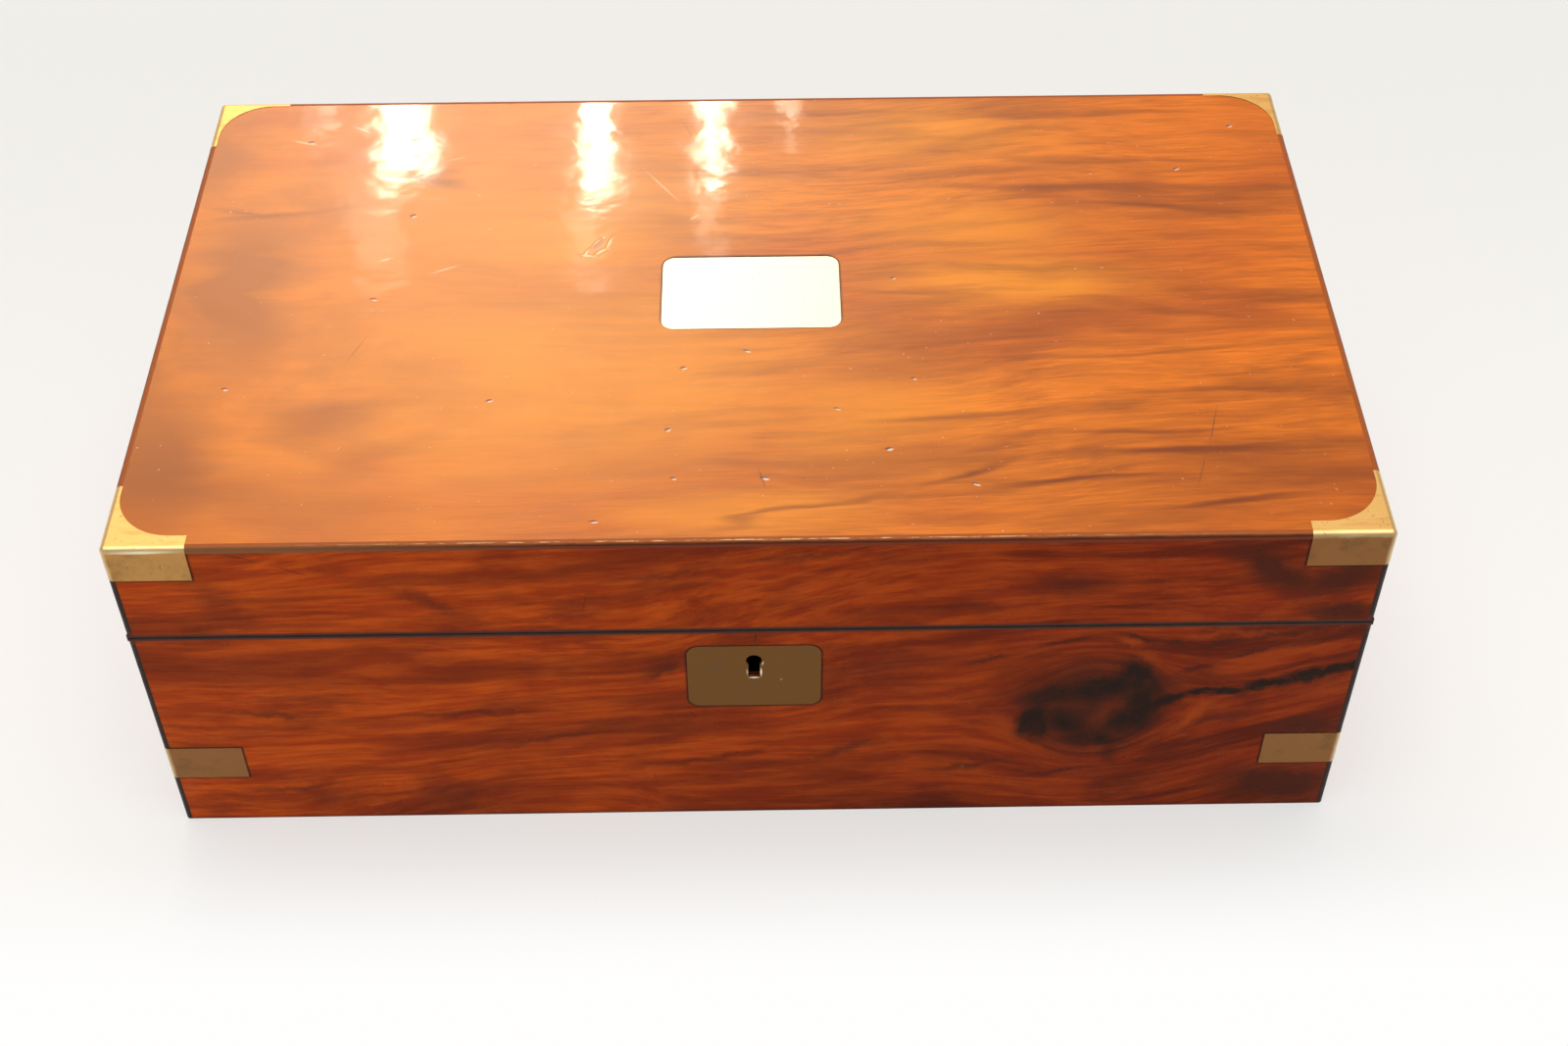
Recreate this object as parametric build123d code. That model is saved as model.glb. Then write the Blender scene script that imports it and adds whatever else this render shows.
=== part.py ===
"""Brass-bound walnut writing slope, closed.

The box is cut on a sloping joint that runs from high on the front to half way up the
back.  The lid turns 180 degrees about the back hinges, so that its flat top lies level
with the underside of the base and the two inner faces make one writing slope.

Millimetres.  X runs to the right, Y to the back, Z up.  The origin is the middle of the
underside of the base.
"""

import math
import os

from build123d import *

# ---------------------------------------------------------------- driving dimensions
# the closed box
WIDTH = 457.0                 # across the front
DEPTH = 267.0                 # front to back
HEIGHT = 157.0                # underside to lid top
SEAM_FRONT = 110.0            # height of the joint line on the front face
HINGE_STANDOFF = 0.5          # hinge axis behind the back face
SEAM_GAP = 0.3                # daylight between the closed rims

# boards
WALL = 10.0                   # four sides of base and lid
TOP_BOARD = 7.0
BOTTOM_BOARD = 6.0
BOTTOM_LIP = 5.0              # wall left outside the rebate for the bottom board
STRING = 2.5                  # square ebonised strips let into the arrises
FACING = 1.4                  # ebonised facing on both rims
ARRIS = 1.6                   # worn rounding of the wooden arrises

# brass bound corners
BRASS = 1.2                   # sheet thickness
PROUD = 0.2                   # brass stands this far above the wood
BRASS_ARRIS = 2.2             # outer rounding of the brass
CORNER_LEG_X = 30.0           # lid corner, along the front or back
CORNER_LEG_Y = 31.5           # lid corner, along the side
CORNER_TAB = 16.0             # lid corner, down the faces
CORNER_CURVE = 21.0           # hollow curve of the top plate
CORNER_TIP_SIDE = 2.8         # width of the top plate at the tip of its side leg
CORNER_TIP_FRONT = 6.5        # the same at the tip of a front leg
CORNER_TIP_BACK = 2.8         # the same at the tip of a back leg
STRAP_LEG = 30.0              # base corner strap
STRAP_HEIGHT = 18.0
STRAP_LIFT = 27.0             # underside of the strap above the rest plane

# brass plates
NAME_PLATE_X = 70.0
NAME_PLATE_Y = 43.5
NAME_PLATE_CORNER = 5.0
NAME_PLATE_SHIFT = (1.0, 2.7)  # off the middle of the lid
NAME_PLATE_SINK = 0.3         # below the lid top
NAME_PLATE_GAP = 0.25         # fine line round the plate
KEY_PLATE_X = 50.0
KEY_PLATE_Z = 34.0
KEY_PLATE_CORNER = 4.5
KEY_PLATE_DROP = 9.0          # below the joint line
KEY_PLATE_SHIFT = 0.6         # off the middle of the front
KEY_PLATE_PROUD = 0.1
KEYHOLE_BORE = 6.0
KEYHOLE_SLOT = 4.3
KEYHOLE_LENGTH = 12.4         # top of the bore to foot of the slot
KEYHOLE_DROP = 5.0            # top of the bore below the top of the plate
KEYHOLE_EASE = 0.5            # the hole in the wood and lock is wider all round

# box lock
LOCK_WIDTH = 54.0
LOCK_THICK = 7.0
LOCK_HEIGHT = 31.0            # below the joint line
LOCK_WALL = 1.0
SELVEDGE_LENGTH = 68.0
SELVEDGE = 1.5                # thickness of the lock's top plate and the link plate
STAPLE_SPACING = 24.0         # between the two staples of the link plate
STAPLE_WIDTH = 4.0
STAPLE_THICK = 3.4
STAPLE_DEPTH = 7.4            # below the joint plane
STAPLE_WINDOW = (2.0, 3.2)    # thickness and height of the window for the bolt
STAPLE_SILL = 1.3             # metal under the window
SLOT_EASE = 0.5               # round the staples in the lock's top plate
BOLT_THICK = 1.4
BOLT_FINGER = (6.2, 2.2)      # length and height of a finger
BOLT_POST = 2.6
BOLT_BAR = 3.6
BOLT_DROP = 0.7               # bar below the sills of the staples
BOLT_SHORT = 0.8              # unlocked finger tips stop short of the staples
TALON = (5.0, 1.4)            # notch in the bolt that the key turns in

# main hinges
HINGE_LENGTH = 60.0
HINGE_INSET = 48.0            # from the end of the box to the end of the hinge
HINGE_LEAF = 1.5
HINGE_LEAF_WIDTH = 8.0
HINGE_BARREL = 4.4            # outer diameter
HINGE_PIN = 2.0
PIN_EASE = 0.05               # radial running clearance
KNUCKLES = 3
KNUCKLE_GAP = 0.2
BARREL_EASE = 0.35            # round the barrel in the wood and the other leaf

# countersunk brass screws
SCREW_HEAD = 5.0
SCREW_HEAD_DEPTH = 1.5
SCREW_SHANK = 2.4             # under the head; it tapers to a point
SCREW_LENGTH = 7.0
HINGE_SCREWS = 3              # in each leaf
HINGE_SCREW_END = 8.0         # first screw from the end of the leaf

# writing flaps
FLAP = 5.0                    # thickness
FLAP_EASE = 0.4               # round the flap
FLAP_SEAT = 0.1               # above its ledges
FLAP_PIN = 2.0                # pivot pins in the flap ends
FLAP_PIN_IN_WALL = 6.0
FLAP_PIN_IN_FLAP = 7.5
LEATHER = 1.0
LEATHER_MARGIN = 14.0         # veneer border round the leather
LEATHER_DROP = 0.1            # leather below the border
LEDGE_WIDTH = 5.0             # ledge strips under the flaps
LEDGE_HEIGHT = 6.0

# pen and ink end of the base
PEN_ZONE = 40.0               # clear width behind the front wall
DIVIDER = 6.0
DIVIDER_REBATE = 3.0          # seat for the free edge of the upper flap
SHELF = 4.0
PARTITION = 4.0
PARTITION_DROP = 2.0          # partitions stop below the joint plane
INK_BAY = 38.0
PIGEONHOLE_RAIL = 5.0         # divider left round the pigeonhole
PIGEONHOLE_TOP = 34.0         # pigeonhole mouth below the joint plane
TRAY = 16.0                   # thickness of the pen tray
TRAY_DROP = 8.0               # below the joint plane
TRAY_RIM = 4.0
TRAY_RADIUS = 19.0            # trough section
TRAY_TROUGH = 11.0            # trough depth

# inkwells
WELL = 36.0                   # square glass body
WELL_HEIGHT = 36.0
WELL_EDGE = 3.0
WELL_BORE = 20.0
WELL_FLOOR = 6.0
COLLAR = 26.0
COLLAR_HEIGHT = 4.0
CAP_THICK = 2.4
CAP_BEVEL = 1.4               # height of the cap's sloping border
CAP_FLAT = 17.0               # flat middle of the cap
CAP_GAP = 0.2                 # between collar and closed cap
CAP_LUG = 6.0                 # width of the cap's hinge lug
CAP_BARREL = 2.6              # outer diameter of the cap hinge
CAP_PIN = 1.2
CAP_LUG_GAP = 0.2

# small drawers
DRAWER_HEIGHT = 25.4
DRAWER_EASE = 0.3
DRAWER_SIDE = 3.0
DRAWER_FRONT = 5.0
DRAWER_FLOOR = 2.4
DRAWER_BACK_GAP = 0.5         # behind a closed drawer
KNOB_PROFILE = ((1.7, 0.0), (1.7, 3.4), (3.5, 4.8), (3.5, 6.4), (2.2, 8.0))  # radius, distance

# ---------------------------------------------------------------- worked-out places
HINGE_Y = DEPTH / 2 + HINGE_STANDOFF
HINGE_Z = HEIGHT / 2          # so that the opened lid lies level with the base
SLOPE = math.atan((SEAM_FRONT - HINGE_Z) / (DEPTH + HINGE_STANDOFF))
RIM = SEAM_GAP / 2            # each rim from the joint plane
FAR = 2 * (WIDTH + DEPTH + HEIGHT)

# joint plane: x across, y down the slope to the back, z square to the slope
SEAM = Plane(
    origin=(0, HINGE_Y, HINGE_Z),
    x_dir=(1, 0, 0),
    z_dir=(0, math.sin(SLOPE), math.cos(SLOPE)),
)
INNER_X = WIDTH / 2 - WALL
INNER_FRONT = -DEPTH / 2 + WALL
INNER_BACK = DEPTH / 2 - WALL
DIVIDER_FRONT = INNER_FRONT + PEN_ZONE
DIVIDER_BACK = DIVIDER_FRONT + DIVIDER
SHELF_LOW = BOTTOM_BOARD + DRAWER_HEIGHT + 2 * DRAWER_EASE
SHELF_TOP = SHELF_LOW + SHELF
BAY_INNER = INNER_X - INK_BAY
LOCK_Y = INNER_FRONT - LOCK_THICK / 2
HINGE_X = WIDTH / 2 - HINGE_INSET - HINGE_LENGTH / 2
SIDES = (-1, 1)


def along_slope(y):
    """Place down the slope, from the hinge axis, of a point of the joint plane at depth y."""
    return (y - HINGE_Y) / math.cos(SLOPE)


FLAP_PIVOT = along_slope(INNER_BACK) - FLAP_EASE - FLAP / 2
FLAP_PIVOT_DEPTH = RIM + FLAP / 2
UPPER_FLAP_END = along_slope(DIVIDER_BACK - DIVIDER_REBATE) + FLAP_EASE
LOWER_FLAP_END = along_slope(INNER_FRONT) + FLAP_EASE + FLAP * math.tan(SLOPE)


# ---------------------------------------------------------------- helpers
def span(x, y, z):
    """Box between a low and a high value on each axis."""
    middle = [(low + high) / 2 for low, high in (x, y, z)]
    size = [high - low for low, high in (x, y, z)]
    return Pos(*middle) * Box(*size)


def under_seam(drop):
    """Everything more than drop below the joint plane."""
    return SEAM * span((-FAR, FAR), (-FAR, FAR), (-FAR, -drop))


def over_seam(rise):
    """Everything more than rise above the joint plane."""
    return SEAM * span((-FAR, FAR), (-FAR, FAR), (rise, FAR))


def to_lid(shape):
    """The same piece on the lid's side of the joint plane."""
    return mirror(shape, about=SEAM)


def less(shape, cutters):
    """The shape with each cutter taken out."""
    for cutter in cutters:
        shape = shape - cutter
    return shape


def rounded_box(proud, high, radius, round_top):
    """Outline of the box up to a height, its upright arrises rounded, and its top ones if asked."""
    block = span(
        (-WIDTH / 2 - proud, WIDTH / 2 + proud),
        (-DEPTH / 2 - proud, DEPTH / 2 + proud),
        (0, high),
    )
    edges = block.edges().filter_by(Axis.Z)
    if round_top:
        edges = edges + block.edges().group_by(Axis.Z)[-1]
    return fillet(edges, radius)


def mitred_wall(side, low, high):
    """One side board of the box as a mitred block: front, right, back or left."""
    turn = {"front": 0, "right": 90, "back": 180, "left": -90}[side]
    length, reach = (WIDTH, DEPTH / 2) if side in ("front", "back") else (DEPTH, WIDTH / 2)
    plan = Polygon(
        (-length / 2, -reach),
        (length / 2, -reach),
        (length / 2 - WALL, -reach + WALL),
        (-length / 2 + WALL, -reach + WALL),
        align=None,
    )
    return Rot(0, 0, turn) * Pos(0, 0, low) * extrude(plan, high - low)


def rounded_plate(length, height, radius, thickness):
    """Flat plate, middle at the origin, upper face at z = 0."""
    return Pos(0, 0, -thickness) * extrude(RectangleRounded(length, height, radius), thickness)


BASE_OUTLINE = rounded_box(0, SEAM_FRONT, ARRIS, round_top=False)
LID_OUTLINE = rounded_box(0, HEIGHT, ARRIS, round_top=True)
BRASS_OUTLINE = rounded_box(PROUD, HEIGHT + PROUD, BRASS_ARRIS, round_top=True)


# ---------------------------------------------------------------- brass on the corners
def from_corner(side, end, across, along):
    """Point measured inwards from one upright corner of the box."""
    return side * (WIDTH / 2 - across), end * (DEPTH / 2 - along)


def corner_tabs(side, end, leg_x, leg_y, low, high):
    """Two brass legs that meet round an upright corner."""
    legs = []
    for across, along in ((leg_x, BRASS - PROUD), (BRASS - PROUD, leg_y)):
        outer = from_corner(side, end, -PROUD, -PROUD)
        inner = from_corner(side, end, across, along)
        ranges = [sorted(pair) for pair in zip(outer, inner)]
        legs.append(span(ranges[0], ranges[1], (low, high)))
    return legs[0] + legs[1]


def strap_seat(side, end):
    """Space that a brass strap fills round a corner of the base, its arris still square."""
    return corner_tabs(side, end, STRAP_LEG, STRAP_LEG, STRAP_LIFT, STRAP_LIFT + STRAP_HEIGHT)


def lid_corner_seat(side, end):
    """Space that a three-sided brass corner fills; its top plate is hollowed by a curve."""
    tip = CORNER_TIP_BACK if end > 0 else CORNER_TIP_FRONT
    bend = from_corner(side, end, CORNER_TIP_SIDE, tip)
    outline = Polygon(
        from_corner(side, end, -PROUD, -PROUD),
        from_corner(side, end, CORNER_LEG_X, -PROUD),
        from_corner(side, end, CORNER_LEG_X, tip),
        bend,
        from_corner(side, end, CORNER_TIP_SIDE, CORNER_LEG_Y),
        from_corner(side, end, -PROUD, CORNER_LEG_Y),
        align=None,
    )
    outline = fillet(outline.vertices().sort_by_distance(bend)[0], CORNER_CURVE)
    plate = Pos(0, 0, HEIGHT + PROUD - BRASS) * extrude(outline, BRASS, dir=(0, 0, 1))
    tabs = corner_tabs(side, end, CORNER_LEG_X, CORNER_LEG_Y, HEIGHT - CORNER_TAB, HEIGHT + PROUD)
    return plate + tabs


# ---------------------------------------------------------------- screws and main hinges
def screw():
    """Countersunk screw, head up at z = 0."""
    top = (Align.CENTER, Align.CENTER, Align.MAX)
    head = Cone(SCREW_SHANK / 2, SCREW_HEAD / 2, SCREW_HEAD_DEPTH, align=top)
    shank = Cone(0, SCREW_SHANK / 2, SCREW_LENGTH - SCREW_HEAD_DEPTH, align=top)
    return head + Pos(0, 0, -SCREW_HEAD_DEPTH) * shank


def rim_screw_places():
    """Screws down through the rim of the base: hinge leaves, then the lock's top plate."""
    places = []
    pitch = (HINGE_LENGTH - 2 * HINGE_SCREW_END) / (HINGE_SCREWS - 1)
    for side in SIDES:
        for index in range(HINGE_SCREWS):
            x = side * HINGE_X - HINGE_LENGTH / 2 + HINGE_SCREW_END + index * pitch
            places.append((x, -HINGE_BARREL / 2 - HINGE_LEAF_WIDTH / 2))
    for side in SIDES:
        x = side * (SELVEDGE_LENGTH + LOCK_WIDTH) / 4
        places.append((x, along_slope(-DEPTH / 2 + WALL / 2)))
    return places


def rim_screws():
    """The screws of one rim, as a list, on the base's side of the joint plane."""
    return [SEAM * Pos(x, y, -RIM) * screw() for x, y in rim_screw_places()]


def barrel(x_range, diameter):
    """Round bar on the main hinge axis."""
    low, high = x_range
    bar = Cylinder(diameter / 2, high - low)
    return SEAM * Pos((low + high) / 2, 0, 0) * Rot(0, 90, 0) * bar


def knuckle_ranges(side):
    """Ends of the knuckles of one hinge, from left to right."""
    pitch = HINGE_LENGTH / KNUCKLES
    start = side * HINGE_X - HINGE_LENGTH / 2
    return [(start + index * pitch, start + (index + 1) * pitch) for index in range(KNUCKLES)]


def hinge_leaf(side, first):
    """Leaf with every other knuckle from the first, on the base's side of the joint plane."""
    ends = (side * HINGE_X - HINGE_LENGTH / 2, side * HINGE_X + HINGE_LENGTH / 2)
    leaf = SEAM * span(ends, (-HINGE_BARREL / 2 - HINGE_LEAF_WIDTH, 0), (-RIM - HINGE_LEAF, -RIM))
    for index, (low, high) in enumerate(knuckle_ranges(side)):
        if index % 2 != first:
            leaf = leaf - barrel((low, high), HINGE_BARREL + 2 * BARREL_EASE)
    for index, (low, high) in enumerate(knuckle_ranges(side)):
        if index % 2 == first:
            leaf = leaf + barrel((low + KNUCKLE_GAP / 2, high - KNUCKLE_GAP / 2), HINGE_BARREL)
    return leaf - barrel(ends, HINGE_PIN + 2 * PIN_EASE)


def hinge_recess(side):
    """What one leaf and the barrel take out of a rim, on the base's side."""
    ends = (side * HINGE_X - HINGE_LENGTH / 2, side * HINGE_X + HINGE_LENGTH / 2)
    pocket = SEAM * span(ends, (-HINGE_BARREL / 2 - HINGE_LEAF_WIDTH, FAR), (-RIM - HINGE_LEAF, 0))
    return pocket + barrel(ends, HINGE_BARREL + 2 * BARREL_EASE)


def hinge_pins():
    """The two wire pins of the main hinges."""
    return [barrel((side * HINGE_X - HINGE_LENGTH / 2, side * HINGE_X + HINGE_LENGTH / 2), HINGE_PIN)
            for side in SIDES]


# ---------------------------------------------------------------- keyhole and lock
def key_plate_middle():
    """Height of the middle of the keyhole plate."""
    return SEAM_FRONT - KEY_PLATE_DROP - KEY_PLATE_Z / 2


def keyhole(ease, y_range):
    """Bore and slot of the keyhole, cut from front to back."""
    radius = KEYHOLE_BORE / 2
    middle = SEAM_FRONT - KEY_PLATE_DROP - KEYHOLE_DROP - radius
    foot = middle + radius - KEYHOLE_LENGTH
    low, high = y_range
    bore = Rot(90, 0, 0) * Cylinder(radius + ease, high - low)
    bore = Pos(KEY_PLATE_SHIFT, (low + high) / 2, middle) * bore
    half = KEYHOLE_SLOT / 2 + ease
    slot = span((KEY_PLATE_SHIFT - half, KEY_PLATE_SHIFT + half), y_range, (foot - ease, middle))
    return bore + slot


def keyhole_plate(pierced=True):
    """Brass plate let into the front of the base."""
    face = Plane(
        origin=(KEY_PLATE_SHIFT, -DEPTH / 2 - KEY_PLATE_PROUD, key_plate_middle()),
        x_dir=(1, 0, 0),
        z_dir=(0, -1, 0),
    )
    plate = face * rounded_plate(KEY_PLATE_X, KEY_PLATE_Z, KEY_PLATE_CORNER, BRASS)
    if pierced:
        plate = plate - keyhole(0, (-DEPTH, 0))
    return plate


def staple_middle():
    """Place of the staples down the slope: central in the lock at half their depth."""
    return along_slope(LOCK_Y) + STAPLE_DEPTH / 2 * math.tan(SLOPE)


def staple_box(side, ease, low, high):
    """Outside of one staple, square to the joint plane."""
    half_x = STAPLE_WIDTH / 2 + ease
    half_y = STAPLE_THICK / 2 + ease
    x = side * STAPLE_SPACING / 2
    y = staple_middle()
    return SEAM * span((x - half_x, x + half_x), (y - half_y, y + half_y), (low, high))


def lock_outline():
    """Outside of the lock: case in the front wall and top plate on the rim."""
    low = SEAM_FRONT - LOCK_HEIGHT
    half = LOCK_WIDTH / 2
    case = span((-half, half), (LOCK_Y - LOCK_THICK / 2, LOCK_Y + LOCK_THICK / 2), (low, SEAM_FRONT))
    return (case & under_seam(RIM)) + selvedge()


def selvedge():
    """Top plate of the lock, as wide as the wall is thick inside its outer skin."""
    half = SELVEDGE_LENGTH / 2
    front = along_slope(LOCK_Y - LOCK_THICK / 2)
    back = along_slope(INNER_FRONT)
    return SEAM * span((-half, half), (front, back), (-RIM - SELVEDGE, -RIM))


def lock_case():
    """Hollow brass lock with its keyhole and the two slots for the staples."""
    low = SEAM_FRONT - LOCK_HEIGHT + LOCK_WALL
    half = LOCK_WIDTH / 2 - LOCK_WALL
    inside = LOCK_THICK / 2 - LOCK_WALL
    room = span((-half, half), (LOCK_Y - inside, LOCK_Y + inside), (low, SEAM_FRONT))
    slots = [staple_box(side, SLOT_EASE, -FAR, FAR) & over_seam(-RIM - SELVEDGE - LOCK_WALL)
             for side in SIDES]
    cuts = [room & under_seam(RIM + SELVEDGE), keyhole(KEYHOLE_EASE, (-DEPTH, LOCK_Y))] + slots
    return less(lock_outline(), cuts + rim_screws()[-2:])


def window_middle():
    """Height, square to the joint plane, of the middle of the staple windows."""
    return -STAPLE_DEPTH + STAPLE_SILL + STAPLE_WINDOW[1] / 2


def link_plate():
    """Brass plate on the lid's front rim, pierced for the roots of its two staples."""
    roots = [staple_box(side, 0, -FAR, FAR) for side in SIDES]
    screws = [to_lid(cutter) for cutter in rim_screws()[-2:]]
    return less(to_lid(selvedge()), roots + screws)


def link_staples():
    """Two brass loops riveted through the link plate, each with a window for the bolt."""
    thick, height = STAPLE_WINDOW
    y = staple_middle()
    z = window_middle()
    window = SEAM * span(
        (-LOCK_WIDTH, LOCK_WIDTH),
        (y - thick / 2, y + thick / 2),
        (z - height / 2, z + height / 2),
    )
    return [staple_box(side, 0, -STAPLE_DEPTH, RIM + SELVEDGE) - window for side in SIDES]


def lock_bolt():
    """Sliding bolt: a bar with two posts whose fingers pass through the staples."""
    place = SEAM.from_local_coords(Vector(0, staple_middle(), window_middle()))
    finger, finger_height = BOLT_FINGER
    bar_top = -STAPLE_WINDOW[1] / 2 - STAPLE_SILL - BOLT_DROP
    tip_left = -STAPLE_SPACING / 2 - STAPLE_WIDTH / 2 - BOLT_SHORT
    y = (-BOLT_THICK / 2, BOLT_THICK / 2)
    right_post = tip_left + STAPLE_SPACING - finger
    left_end = tip_left - finger - BOLT_POST
    bolt = span((left_end, right_post), y, (bar_top - BOLT_BAR, bar_top))
    for tip in (tip_left, tip_left + STAPLE_SPACING):
        root = tip - finger
        bolt = bolt + span((root - BOLT_POST, root), y, (bar_top, finger_height / 2))
        bolt = bolt + span((root, tip), y, (-finger_height / 2, finger_height / 2))
    notch, notch_height = TALON
    middle = (left_end + right_post) / 2
    low = bar_top - BOLT_BAR
    bolt = bolt - span((middle - notch / 2, middle + notch / 2), y, (low, low + notch_height))
    return Pos(0, place.Y, place.Z) * bolt


# ---------------------------------------------------------------- writing flaps
def flap_board(end):
    """Flap on the base's side: half-round at its pivot, sunk for the leather."""
    half = INNER_X - FLAP_EASE
    low, high = -RIM - FLAP, -RIM
    board = span((-half, half), (end, FLAP_PIVOT), (low, high))
    edge = Pos(0, FLAP_PIVOT, -FLAP_PIVOT_DEPTH) * Rot(0, 90, 0) * Cylinder(FLAP / 2, 2 * half)
    board = SEAM * (board + edge)
    return less(board, [flap_leather(end, LEATHER + LEATHER_DROP)] + flap_pins(PIN_EASE))


def flap_leather(end, thickness=LEATHER):
    """Leather let into the flap; a thicker one is the sinking it lies in."""
    half = INNER_X - FLAP_EASE - LEATHER_MARGIN
    floor = -RIM - LEATHER_DROP - LEATHER
    return SEAM * span(
        (-half, half),
        (end + LEATHER_MARGIN, FLAP_PIVOT - LEATHER_MARGIN),
        (floor, floor + thickness),
    )


def flap_pins(ease=0.0):
    """Two pivot pins from the side walls into the flap's ends."""
    length = FLAP_PIN_IN_WALL + FLAP_EASE + FLAP_PIN_IN_FLAP
    middle = INNER_X + FLAP_PIN_IN_WALL - length / 2
    pin = Rot(0, 90, 0) * Cylinder(FLAP_PIN / 2 + ease, length + 2 * ease)
    return [SEAM * Pos(side * middle, FLAP_PIVOT, -FLAP_PIVOT_DEPTH) * pin for side in SIDES]


def ledge_strips(front, layer, railed):
    """Strips on the side walls, and a rail on the front wall if railed, within a sloping layer."""
    inner = INNER_X - LEDGE_WIDTH
    strips = [span(sorted((side * INNER_X, side * inner)), (front, INNER_BACK), (0, HEIGHT))
              for side in SIDES]
    if railed:
        strips.append(span((-inner, inner), (front, front + LEDGE_WIDTH), (0, HEIGHT)))
    return [strip & layer for strip in strips]


def ledge_layer():
    """Sloping layer of the ledges, on the base's side of the joint plane."""
    top = -RIM - FLAP - FLAP_SEAT
    return SEAM * span((-FAR, FAR), (-FAR, FAR), (top - LEDGE_HEIGHT, top))


# ---------------------------------------------------------------- base carcase
def base_string_square(side, end):
    """Square let into one upright arris of the base."""
    outer = from_corner(side, end, 0, 0)
    inner = from_corner(side, end, STRING, STRING)
    ranges = [sorted(pair) for pair in zip(outer, inner)]
    return span(ranges[0], ranges[1], (0, HEIGHT - STRING))


CORNERS = {
    "front_left": (-1, -1),
    "front_right": (1, -1),
    "back_left": (-1, 1),
    "back_right": (1, 1),
}
STRAP_SEATS = [strap_seat(*corner) for corner in CORNERS.values()]
CORNER_SEATS = [lid_corner_seat(*corner) for corner in CORNERS.values()]
ARRIS_SQUARES = [base_string_square(*corner) for corner in CORNERS.values()]


def base_bottom():
    """Bottom board, let up into a rebate in the four walls."""
    half_x = WIDTH / 2 - BOTTOM_LIP
    half_y = DEPTH / 2 - BOTTOM_LIP
    return span((-half_x, half_x), (-half_y, half_y), (0, BOTTOM_BOARD))


def base_wall(side, extra):
    """One wall of the base with everything that is let into it taken out."""
    wall = mitred_wall(side, 0, SEAM_FRONT) & under_seam(RIM + FACING) & BASE_OUTLINE
    return less(wall, [base_bottom()] + ARRIS_SQUARES + STRAP_SEATS + extra)


def base_front():
    """Front wall, cut for the plate, the keyhole and the lock."""
    eased = keyhole(KEYHOLE_EASE, (-DEPTH, LOCK_Y))
    return base_wall("front", [keyhole_plate(pierced=False), eased, lock_outline()] + rim_screws()[-2:])


def base_back():
    """Back wall, cut for the hinges."""
    return base_wall("back", [hinge_recess(side) for side in SIDES] + rim_screws()[:-2])


def base_rim_facing():
    """Four ebonised strips on the rim of the base."""
    cuts = [hinge_recess(side) for side in SIDES] + [lock_outline()] + rim_screws()
    strips = []
    for side in ("front", "right", "back", "left"):
        strip = mitred_wall(side, 0, SEAM_FRONT + WALL) & under_seam(RIM)
        strips.append(less(strip - under_seam(RIM + FACING), cuts))
    return strips


def base_corner_stringing():
    """Upright ebonised strips in the arrises, let in under the brass straps."""
    strips = []
    for square in ARRIS_SQUARES:
        strip = square & under_seam(RIM + FACING) & BASE_OUTLINE
        strips.append(less(strip, STRAP_SEATS))
    return strips


# ---------------------------------------------------------------- inside the base
def pen_zone_shelf():
    """Shelf over the drawers."""
    return span((-INNER_X, INNER_X), (INNER_FRONT, DIVIDER_BACK), (SHELF_LOW, SHELF_TOP))


def drawer_partition():
    """Upright between the two drawers."""
    half = PARTITION / 2
    return span((-half, half), (INNER_FRONT, DIVIDER_BACK), (BOTTOM_BOARD, SHELF_LOW))


def pen_zone_divider():
    """Board behind the pens, open to the pigeonhole and rebated for the upper flap."""
    board = span((-INNER_X, INNER_X), (DIVIDER_FRONT, DIVIDER_BACK), (SHELF_TOP, SEAM_FRONT))
    board = board & under_seam(RIM + FLAP_EASE)
    seat = UPPER_FLAP_END - FLAP_EASE
    rebate = SEAM * span((-FAR, FAR), (seat, FAR), (-RIM - FLAP - FLAP_SEAT, FAR))
    half = BAY_INNER - PARTITION - PIGEONHOLE_RAIL
    mouth = span((-half, half), (-DEPTH, DEPTH), (SHELF_TOP + PIGEONHOLE_RAIL, SEAM_FRONT))
    return less(board, [rebate, mouth & under_seam(PIGEONHOLE_TOP)])


def ink_bay_partition(side):
    """Upright between an ink bay and the pen tray."""
    x = sorted((side * BAY_INNER, side * (BAY_INNER - PARTITION)))
    board = span(x, (INNER_FRONT, DIVIDER_FRONT), (SHELF_TOP, SEAM_FRONT))
    return board & under_seam(PARTITION_DROP)


def pen_tray():
    """Board between the ink bays, hollowed along its length for pens."""
    half = BAY_INNER - PARTITION
    block = span((-half, half), (INNER_FRONT, DIVIDER_FRONT), (SHELF_TOP, SEAM_FRONT))
    block = (block & under_seam(TRAY_DROP)) - under_seam(TRAY_DROP + TRAY)
    middle = along_slope((INNER_FRONT + DIVIDER_FRONT) / 2)
    axis_height = -TRAY_DROP - TRAY_TROUGH + TRAY_RADIUS
    trough = Rot(0, 90, 0) * Cylinder(TRAY_RADIUS, 2 * (half - TRAY_RIM))
    return block - SEAM * Pos(0, middle, axis_height) * trough


# ---------------------------------------------------------------- inkwells
WELL_Y = (INNER_FRONT + DIVIDER_FRONT) / 2
WELL_X = (INNER_X + BAY_INNER) / 2
WELL_TOP = SHELF_TOP + WELL_HEIGHT
COLLAR_TOP = WELL_TOP + COLLAR_HEIGHT
CAP_HINGE_LENGTH = 3 * CAP_LUG + 2 * CAP_LUG_GAP
UPRIGHT = (Align.CENTER, Align.CENTER, Align.MIN)
CAP_AXIS = (WELL_Y - COLLAR / 2 - CAP_BARREL / 2 + CAP_LUG_GAP, COLLAR_TOP + CAP_GAP)


def at_well(side, z):
    """On the upright axis of one inkwell."""
    return Pos(side * WELL_X, WELL_Y, z)


def cap_hinge_bar(side, diameter, length):
    """Round bar on the hinge axis of one cap."""
    y, z = CAP_AXIS
    return Pos(side * WELL_X, y, z) * Rot(0, 90, 0) * Cylinder(diameter / 2, length)


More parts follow.
